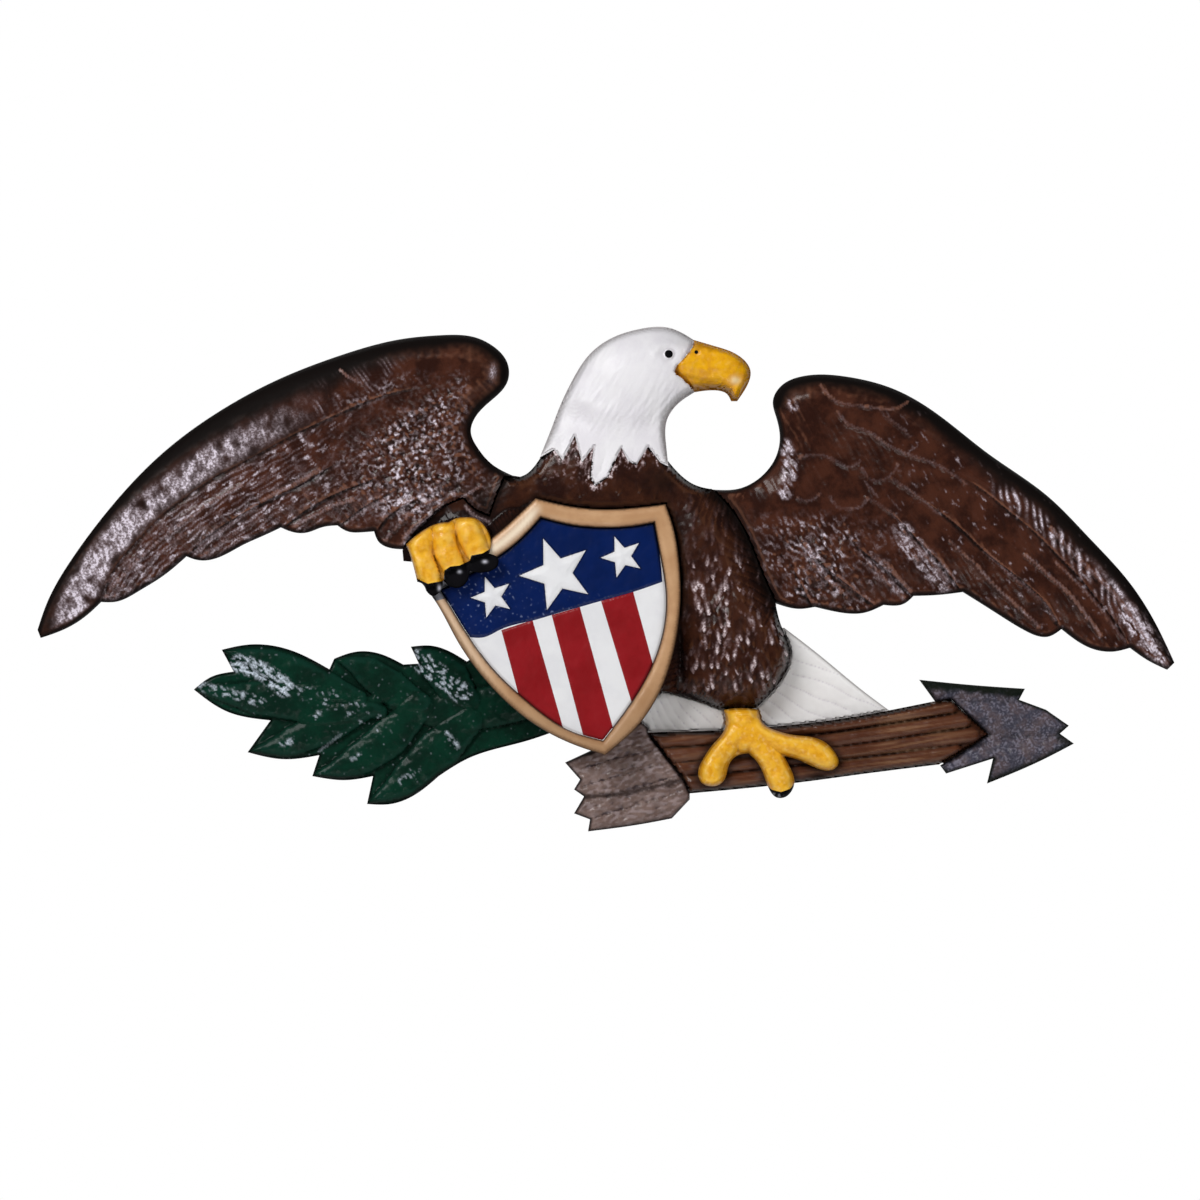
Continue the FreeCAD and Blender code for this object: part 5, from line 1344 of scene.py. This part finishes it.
# Branch
# Each leaf as its midrib in photo points and its widths in pixels along it
LEAVES_PX = [
    ([(560, 690), (500, 705), (440, 712), (392, 705)], [38, 42, 40, 12]),
    ([(470, 722), (430, 758), (402, 783), (368, 803)], [26, 44, 34, 3]),
    ([(420, 706), (384, 742), (350, 764), (312, 776)], [26, 40, 32, 3]),
    ([(372, 706), (318, 730), (285, 744), (248, 752)], [20, 36, 30, 3]),
    ([(470, 700), (450, 680), (432, 664), (412, 648)], [20, 40, 32, 3]),
    ([(420, 702), (384, 684), (360, 668), (336, 660)], [20, 36, 30, 3]),
    ([(360, 698), (310, 680), (266, 663), (222, 650)], [14, 34, 30, 3]),
    ([(380, 712), (300, 704), (240, 696), (194, 690)], [14, 38, 34, 3]),
]
# The painted glints: a stretch in photo points, how wide in pixels, how bright, how dense
GLINTS_PX = [
    ([(238, 664), (262, 672), (284, 688)], 10, 0.9, -0.25),
    ([(200, 687), (230, 694), (260, 702)], 6, 0.6, 0.0),
    ([(304, 690), (340, 704), (376, 724)], 11, 0.5, 0.35),
    ([(418, 660), (440, 676), (462, 694)], 11, 0.8, 0.0),
    ([(281, 744), (290, 742)], 4, 0.7, -0.2),
    ([(352, 760), (358, 756)], 3, 0.7, -0.2),
    ([(315, 717), (319, 714)], 3, 0.7, -0.2),
    ([(446, 733), (457, 747)], 3, 0.7, -0.3),
    ([(400, 782), (417, 770)], 4, 0.5, 0.0),
    ([(318, 752), (340, 735)], 1.6, 0.5, -1),
]


def branch_form(points, gap):
    """Form the branch: plump leaves that lie over one another, with painted glints."""
    depth = np.full(len(points), 8.8)
    for line_px, widths in LEAVES_PX:
        place, away, length = follow(points, smooth_line(line_px))
        share = place / length
        half = np.interp(share, [0, 1 / 3, 2 / 3, 1], widths) * PIXEL_MM / 2
        part = np.clip(1 - np.abs(away) / np.maximum(half, 0.2), 0, 1)
        leaf = 9.0 + 4.4 * np.sqrt(part * (2 - part)) - 2.0 * share ** 2
        depth = np.where(part > 0, either(leaf, depth, 3.4), depth)
    depth += 0.35 * lumps(points, 5, 91) + 0.12 * lumps(points, 2.6, 92)
    depth = settled(depth, THIN_EDGE, rounded(gap, 3.4))
    sheen_and_flecks = np.zeros(len(points))
    rough = lumps(points, 1.9, 93, 4.4, -35) + 0.4 * lumps(points, 6, 95)
    for line, wide, bright, least in GLINTS_PX:
        reach = soft(wide * PIXEL_MM - beside(points, line, 12), 0, 2.5)
        sheen_and_flecks = np.maximum(sheen_and_flecks, 0.85 * bright * reach * soft(rough, least, least + 0.4))
    # Small painted glints scattered over the leaves
    sheen_and_flecks = np.maximum(sheen_and_flecks, 0.2 * flecks(points, 2.2, 94, 0.66))
    # Painted shade along the edge
    return under(depth, points, BODY, ROOT - HAIR), fade(gap, 0.4, 2.6), sheen_and_flecks


cast("branch_relief", "branch_casting", [ring_of(BRANCH_PX)], branch_form, 0,
     [LEAF_GREEN], lines=seams(BODY), levels=recesses(BRANCH_SCREWS_PX))

# Shield
PANEL = ring_of(PANEL_PX)
FIELD = ring_of([
    PANEL_PX[0],
    [(654, 523), (658, 545), (662, 582)],
    [(662, 582), (633, 592), (601, 601), (580, 607), (555, 614), (535, 620), (500, 630),
     (485, 637), (470, 637)],
    [(470, 637), (452, 608), (441, 590)],
    PANEL_PX[3],
])
STRIPES = [stretched(corners) for corners in [
    ((502, 630), (522, 705), (567, 740), (533, 620)),
    ((552, 615), (586, 745), (617, 742), (580, 607)),
    ((601, 601), (636, 717), (657, 680), (633, 592))]]


def star(centre, reach, lean):
    """Draw a five-pointed star."""
    turn = np.radians(lean) + np.arange(10) * math.pi / 5
    far = np.where(np.arange(10) % 2 == 0, reach, reach * 0.42) / PIXEL_MM
    return stretched(np.column_stack([centre[0] + far * np.sin(turn),
                                      centre[1] - far * np.cos(turn)]))


STARS = [star((557, 574), 24.8, -21), star((493, 597), 14.2, -20), star((622, 557), 14.2, -21)]


def frame_form(points, gap):
    """Form the rim, a round band, with painted shade to the outside, at the inner edge and lower
    down, and a painted highlight along the top left slant and the left side.
    """
    u, v = across(points), down(points)
    outer, inner = clear_of(points, SHIELD, 20), clear_of(points, PANEL, 20)
    depth = 42.4 + 3.5 * rounded(gap, 4.6) + 0.2 * lumps(points, 7, 101)
    low = soft(v, 590, 640) * (0.5 + 0.5 * soft(560 - u, 0, 60)) + 0.5 * soft(v, 690, 740)
    dark = np.maximum(0.6 * fade(outer, 0.2, 1.2 + 2.6 * low),
                      0.4 * fade(inner, 0.1, 1.0))
    dark = np.maximum(dark, 0.3 * soft(v, 640, 740))
    slant = soft(546 - u, 0, 16) * soft(600 - v, 0, 16)
    left = 0.35 * soft(510 - u, 0, 40)
    pale = bell(inner - outer * 0.8, 5.5) * np.maximum(slant, left)
    return depth, dark, pale * (1 - dark)


# Painted shadow of the talons on the rim, in the talons' black
TALON_SHADE = stretched([(429, 584), (446, 578), (470, 569), (496, 556), (500, 566), (494, 575),
                         (470, 586), (448, 598), (434, 602)])


cast("shield_rim", "shield_frame", [SHIELD], frame_form, SEAT,
     [RIM_GOLD, TALON_BLACK], holes=[grown(PANEL, 0.01)], step=0.9, zones=[(TALON_SHADE, 1)])


def panel_form(points, gap):
    """Form the panel: the blue field, the red stripes and the stars stand a little proud."""
    u, v = across(points), down(points)
    depth = 40.2 + 0.25 * lumps(points, 9, 111) + 0.1 * lumps(points, 4, 112)
    for ring, high in [(FIELD, 0.8)] + [(ring, 0.4) for ring in STRIPES]:
        depth += within(points, ring) * high * soft(clear_of(points, ring, 3), 0, 0.9)
    # Painted shade along the edge under the rim, and a darker line round each star
    dark = 0.85 * fade(gap, 0.3, 2.0)
    inside = np.zeros(len(points), bool)
    for ring in STARS:
        away, hit = clear_of(points, ring, 9), within(points, ring)
        depth += hit * (0.5 + 0.25 * np.minimum(away, 4))
        dark = np.maximum(dark, np.where(hit, 0.25, 0.6) * fade(away, 0, 1.2))
        inside |= hit
    blue = within(points, FIELD) & ~inside
    # Painted glints on the blue near the small left star and in a band across its lower part
    nearby = np.maximum(bell(u - 486, 34) * bell(v - 590, 34), 0.55 * bell(v - 612, 12))
    painted_glints = flecks(points, 1.9, 113, 0.56) * nearby
    return depth, dark, 0.85 * blue * painted_glints


cast("shield_face", "shield_panel", [grown(PANEL, -GAP)], panel_form, PANEL_BACK,
     [STRIPE_WHITE, STRIPE_RED, FIELD_BLUE], step=0.8,
     zones=[*[(ring, 1) for ring in STRIPES], (FIELD, 2), *[(ring, 0) for ring in STARS]])

# Arrows
RODS_PX = [
    [(655, 741), (760, 733), (950, 706)],
    [(664, 756), (780, 747), (964, 720)],
    [(672, 770), (780, 760), (972, 735)],
    [(680, 784), (800, 773), (955, 752)],
]


def shafts_form(points, _gap):
    """Form the shafts: round rods side by side on a plate, with streaks along them."""
    u = across(points)
    rim = clear_of(points, SHAFTS, 9)
    crest = np.full(len(points), 99.0)
    for line in RODS_PX:
        crest = np.minimum(crest, beside(points, line))
    depth = np.maximum(15.0, 18.6 + np.sqrt(np.clip(5.4 ** 2 - crest ** 2, 0, None)))
    depth += (0.45 * lumps(points, 2.2, 121, 40, 8) + 0.25 * lumps(points, 1.5, 122, 22, 7)
              + 0.3 * lumps(points, 7, 124))
    depth = settled(depth, 11, rounded(rim, 3.0))
    for ring in (FLETCHING, ARROWHEADS):
        depth = under(depth, points, ring, TONGUE - HAIR, TIGHT)
    depth = np.where(within(points, SHAFTS), depth, TONGUE - HAIR)
    joined = np.minimum(clear_of(points, ARROWHEADS, 9), clear_of(points, FLETCHING, 9))
    # Painted shade along the edge, in the grooves between the rods and beside the foot, and a
    # painted shadow under the foot's right toe
    dark = greatest(0.95 * fade(rim, 0.3, 3.0) * (0.3 + 0.7 * soft(joined, 2, 4)),
                    0.45 * soft(crest, 3.4, 5.2),
                    0.6 * fade(clear_of(points, FOOT, 9), 0, 5),
                    0.95 * bell(u - 819, 12) * bell(down(points) - 777, 5))
    streak = soft(lumps(points, 1.7, 123, 34, 8), -0.1, 0.6)
    sheen_and_flecks = streak * (0.15 + 0.2 * soft(u, 850, 900) * soft(960 - u, 0, 40))
    return depth, dark, sheen_and_flecks * (1 - dark)


cast("arrow_shafts_relief", "arrow_shafts",
     [SHAFTS, stretched(POINT_TONGUE_PX), stretched(VANE_TONGUE_PX)], shafts_form, ROOT,
     [SHAFT_BROWN], holes=[grown(ANKLE, GAP)], lines=seams(FLETCHING, ARROWHEADS, gap=TIGHT))

# Each vane of the fletching as its rib in photo points
VANES_PX = [
    [(684, 738), (640, 745), (608, 752), (570, 766)],
    [(690, 750), (650, 760), (610, 770), (578, 781)],
    [(690, 764), (650, 776), (612, 787), (580, 797)],
    [(692, 780), (652, 793), (616, 803), (580, 814)],
    [(690, 796), (660, 808), (626, 818), (590, 829)],
]


def vane_form(points, gap):
    """Form the fletching: long ragged vanes, each lapping over the next."""
    u, v = across(points), down(points)
    best, side = np.full(len(points), 99.0), 0
    for line in VANES_PX:
        _, away, _ = follow(points, smooth_line(line))
        side = np.where(np.abs(away) < best, away, side)
        best = np.minimum(best, np.abs(away))
    ragged = 0.8 * lumps(points, 7, 130)
    depth = 17.0 + 1.6 * arch(best, 8.5) - 0.1 * side
    depth += 0.7 * lumps(points, 2.6, 131, 8, 20) + 0.7 * lumps(points, 4, 132)
    depth = settled(depth, 13, rounded(gap, 2.8))
    parted = beside(points, [(574, 798), (612, 795), (650, 788), (700, 776)], 9) + 1.2 * ragged
    # Painted shade along the edge, between the vanes and in the split between the two groups of
    # vanes
    dark = greatest(fade(gap, 0.3, 2.4) * (1 - 0.7 * soft(u, 664, 690)),
                    0.16 * soft(best + 1.6 * ragged, 3.6, 5.4), 0.8 * bell(parted, 1.6))
    streak = patchy(points, (2.2, 133, -0.05, 5, 20), (7, 134, -0.1), 0.6)
    pale = 0.4 + 0.5 * bell(u - 662, 24) * bell(v - 746, 20)
    return depth, dark, pale * streak * (1 - dark)


cast("fletching_relief", "fletching", [FLETCHING], vane_form, TONGUE,
     [VANE_TAUPE], step=0.9)

# Each point as the ridge in photo points and its half width in millimetres
POINTS_PX = [
    ([(930, 690), (975, 690), (1026, 691)], 11),
    ([(945, 716), (1010, 716), (1070, 727)], 13),
    ([(950, 768), (1010, 757), (1073, 744)], 12),
]


def point_form(points, gap):
    """Form the arrowheads: three flat points with a low ridge each, mottled."""
    u, v = across(points), down(points)
    depth = np.full(len(points), 15.0)
    for line, wide in POINTS_PX:
        part = np.clip(1 - beside(points, line) / wide, 0, 1)
        depth = np.maximum(depth, 15.0 + 5.0 * part ** 0.7)
    depth += 0.4 * lumps(points, 4.6, 141) + 0.4 * lumps(points, 2.4, 142)
    depth = settled(depth, 13, rounded(gap, 2.8))
    top = fade(v - 686 - 0.09 * (u - 925) + 2 * lumps(points, 6, 147), 0, 6)
    joined = soft(clear_of(points, SHAFTS, 9), 1.5, 4)
    foot = beside(points, [(988, 786), (1040, 764), (1075, 746)], 12)
    nose = beside(points, [(1046, 706), (1068, 727), (1060, 735), (1073, 743)], 12)
    # Painted shade along the edge, the upper edge, the lower edge and the nose
    dark = greatest(fade(gap, 0.4, 2.6) * (0.3 + 0.7 * joined), 0.95 * top,
                    0.9 * fade(foot, 1.5, 6), 0.8 * fade(nose, 0.8, 4))
    sheen_and_flecks = 0.45 * patchy(points, (1.5, 144, 0.0), (6, 146, -0.2))
    warm = soft(975 - u, 0, 20) * soft(v, 745, 760)
    return depth, dark, np.maximum(sheen_and_flecks, 0.5 * warm * flecks(points, 2.2, 145, 0.0)) * (1 - dark)


cast("arrowheads_relief", "arrowheads", [ARROWHEADS], point_form, TONGUE,
     [POINT_GREY], step=0.9)

# Claw and foot
# Each toe as its middle line in photo points and its radii in millimetres along it
CLAW_TOES_PX = [([(424, 538), (422, 556), (429, 572), (436, 589)], [8.6, 9.0, 7.5, 5.4]),
                ([(446, 531), (446, 546), (453, 562), (459, 579)], [8.2, 8.6, 7.6, 6.2]),
                ([(468, 528), (474, 542), (480, 554), (489, 563)], [8.6, 9.0, 7.6, 6.4])]
TALON_ZONE = stretched([(408, 578), (419, 579), (430, 584), (445, 581), (446, 571), (452, 567),
                        (461, 566), (471, 561), (473, 556), (484, 554), (492, 549),
                        (506, 546), (506, 606), (408, 606)])
FOOT_TOES_PX = [([(740, 728), (724, 746), (712, 766), (711, 778)], [9.0, 8.8, 8.8, 8.0]),
                ([(746, 730), (764, 752), (777, 774), (781, 788)], [9.0, 9.0, 9.6, 8.0]),
                ([(750, 728), (785, 742), (812, 751), (826, 759)], [9.0, 8.6, 8.6, 8.0]),
                ([(741, 704), (742, 720), (746, 738)], [11.0, 11.0, 10.5])]


def toes_relief(points, toes, crest, floor, merge=0.6):
    """Give the depth of round toes, joined softly."""
    depth = np.full(len(points), floor)
    for line, radii in toes:
        place, away, length = follow(points, smooth_line(line))
        radius = np.interp(place / length, np.linspace(0, 1, len(radii)), radii)
        lift = np.sqrt(np.clip(radius ** 2 - away ** 2, 0, None))
        toe = crest - radius + lift + 0.5 * np.sin(place / length * math.pi * 3) ** 2
        depth = np.where(lift > 0, either(depth, toe, merge), depth)
    return depth + 0.35 * lumps(points, 5, 151) + 0.15 * lumps(points, 2.4, 152)


def claw_form(points, gap):
    """Form the left claw, with painted glints on its talons."""
    u, v = across(points), down(points)
    depth = toes_relief(points, CLAW_TOES_PX, 55.6, 49.0, 0.6 + 4.5 * soft(v, 544, 566))
    talons = within(points, TALON_ZONE)
    depth = settled(depth, 47.4, rounded(gap, np.where(talons, 1.6, 3.2)))
    flat = talons * soft(clear_of(points, TALON_ZONE, 5), 0, 3)
    depth += 0.85 * flat * (50.5 - depth)
    # Painted glints on the talons
    sheen_and_flecks = (bell(np.hypot((u - 441) / 1.6, (v - 588) / 2.5), 1)
            + bell(np.hypot((u - 461) / 1.8, (v - 572) / 1.4), 1)
            + bell(np.hypot((u - 486) / 2.2, (v - 562) / 1.5), 1))
    # Painted shade at the edge and where the toes sink low
    dark = np.maximum(0.45 * fade(gap, 0.2, 1.4), 0.35 * soft(51.5 - depth, 0, 3))
    mottle = np.where(talons, 0, 0.16 * flecks(points, 5, 153, 0.0))
    return depth, dark, np.clip(0.9 * sheen_and_flecks + mottle, 0, 1)


def foot_form(points, gap):
    """Form the right foot."""
    depth = toes_relief(points, FOOT_TOES_PX, 36.8, 30.0)
    depth = settled(depth, 26.5, rounded(gap, 3.4))
    # Painted shade at the edge, and pale flecks
    return depth, 0.45 * fade(gap, 0.2, 1.6), 0.35 * flecks(points, 2.4, 161, 0.3)


FOOT_ZONE = stretched([(764, 783), (771, 789), (780, 791), (789, 788), (797, 780), (797, 806),
                       (764, 806)])
cast("left_claw_relief", "left_claw", [CLAW], claw_form, SEAT,
     [FOOT_YELLOW, TALON_BLACK], step=0.8, zones=[(TALON_ZONE, 1)], levels=[(SHIELD, CLAW_BACK)])
cast("right_foot_relief", "right_foot", [FOOT], foot_form, FOOT_BACK,
     [FOOT_YELLOW, TALON_BLACK], step=0.8, zones=[(FOOT_ZONE, 1)], levels=[(ANKLE, ROOT)])

# Screws and hanger plates
ZINC = zinc_plate()
for name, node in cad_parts.items():
    if "screw" in name or "hanger" in name:
        node.data.materials.clear()
        node.data.materials.append(ZINC)


# Studio
def stage_paint(name, code):
    """Make a plain matt paint for the stage."""
    material, tree = blank(name)
    shader = add(tree, "ShaderNodeBsdfDiffuse", Color=linear(code))
    return painted(material, shader)


bpy.ops.mesh.primitive_plane_add(size=2.4, location=(0, 0, -0.85))
floor = bpy.context.active_object
floor.name = "studio_floor"
floor.data.materials.append(stage_paint("matt_white_floor", "#f0f0f0"))

world = bpy.data.worlds.new("studio")
bpy.context.scene.world = world
world.use_nodes = True
tree = world.node_tree
tree.nodes.clear()
# The room is white behind the sculpture, where the camera looks and where glossy edges
# mirror the backdrop, and dim in front of it.
path = add(tree, "ShaderNodeLightPath")
aim = add(tree, "ShaderNodeTexCoord")
parts = add(tree, "ShaderNodeSeparateXYZ", [(aim.outputs["Generated"], 0)])
behind = ramped(tree, parts.outputs["Y"], 0.6, 0.95)
upward = ramped(tree, parts.outputs["Z"], -0.3, 0.7)
front = mixed(tree, upward, linear("#3c3c3c"), linear("#565656"))
room = mixed(tree, behind, front, (1, 1, 1, 1))
sky = mixed(tree, path.outputs["Is Camera Ray"], room, (1, 1, 1, 1))
glow = add(tree, "ShaderNodeBackground", [(sky, "Color")], Strength=1.0)
add(tree, "ShaderNodeOutputWorld", [(glow.outputs[0], 0)])


def soft_box(name, place, size, watts, mirrored=True):
    """Hang a square soft light that points at the sculpture."""
    data = bpy.data.lights.new(name, "AREA")
    data.shape = "SQUARE"
    data.size = size
    data.energy = watts
    lamp = bpy.data.objects.new(name, data)
    lamp.location = place
    lamp.visible_glossy = mirrored
    aim_at = Vector((0, 0, -0.1)) - Vector(place)
    lamp.rotation_euler = aim_at.to_track_quat("-Z", "Y").to_euler()
    bpy.context.scene.collection.objects.link(lamp)


soft_box("key_light", (-1.5, -2.1, 1.35), 1.2, 61)
soft_box("fill_light", (1.7, -2.2, 0.6), 1.4, 30, mirrored=False)
soft_box("low_light", (-0.3, -1.9, -1.5), 0.7, 14)

scene = bpy.context.scene
scene.view_settings.view_transform = "Standard"
lens = bpy.data.cameras.new("photo_camera")
lens.sensor_width = 36
lens.lens = 135
camera = bpy.data.objects.new("photo_camera", lens)
camera.location = (-0.020, -3.02, -0.0887)
camera.rotation_euler = (math.radians(90), 0, 0)
scene.collection.objects.link(camera)
scene.camera = camera
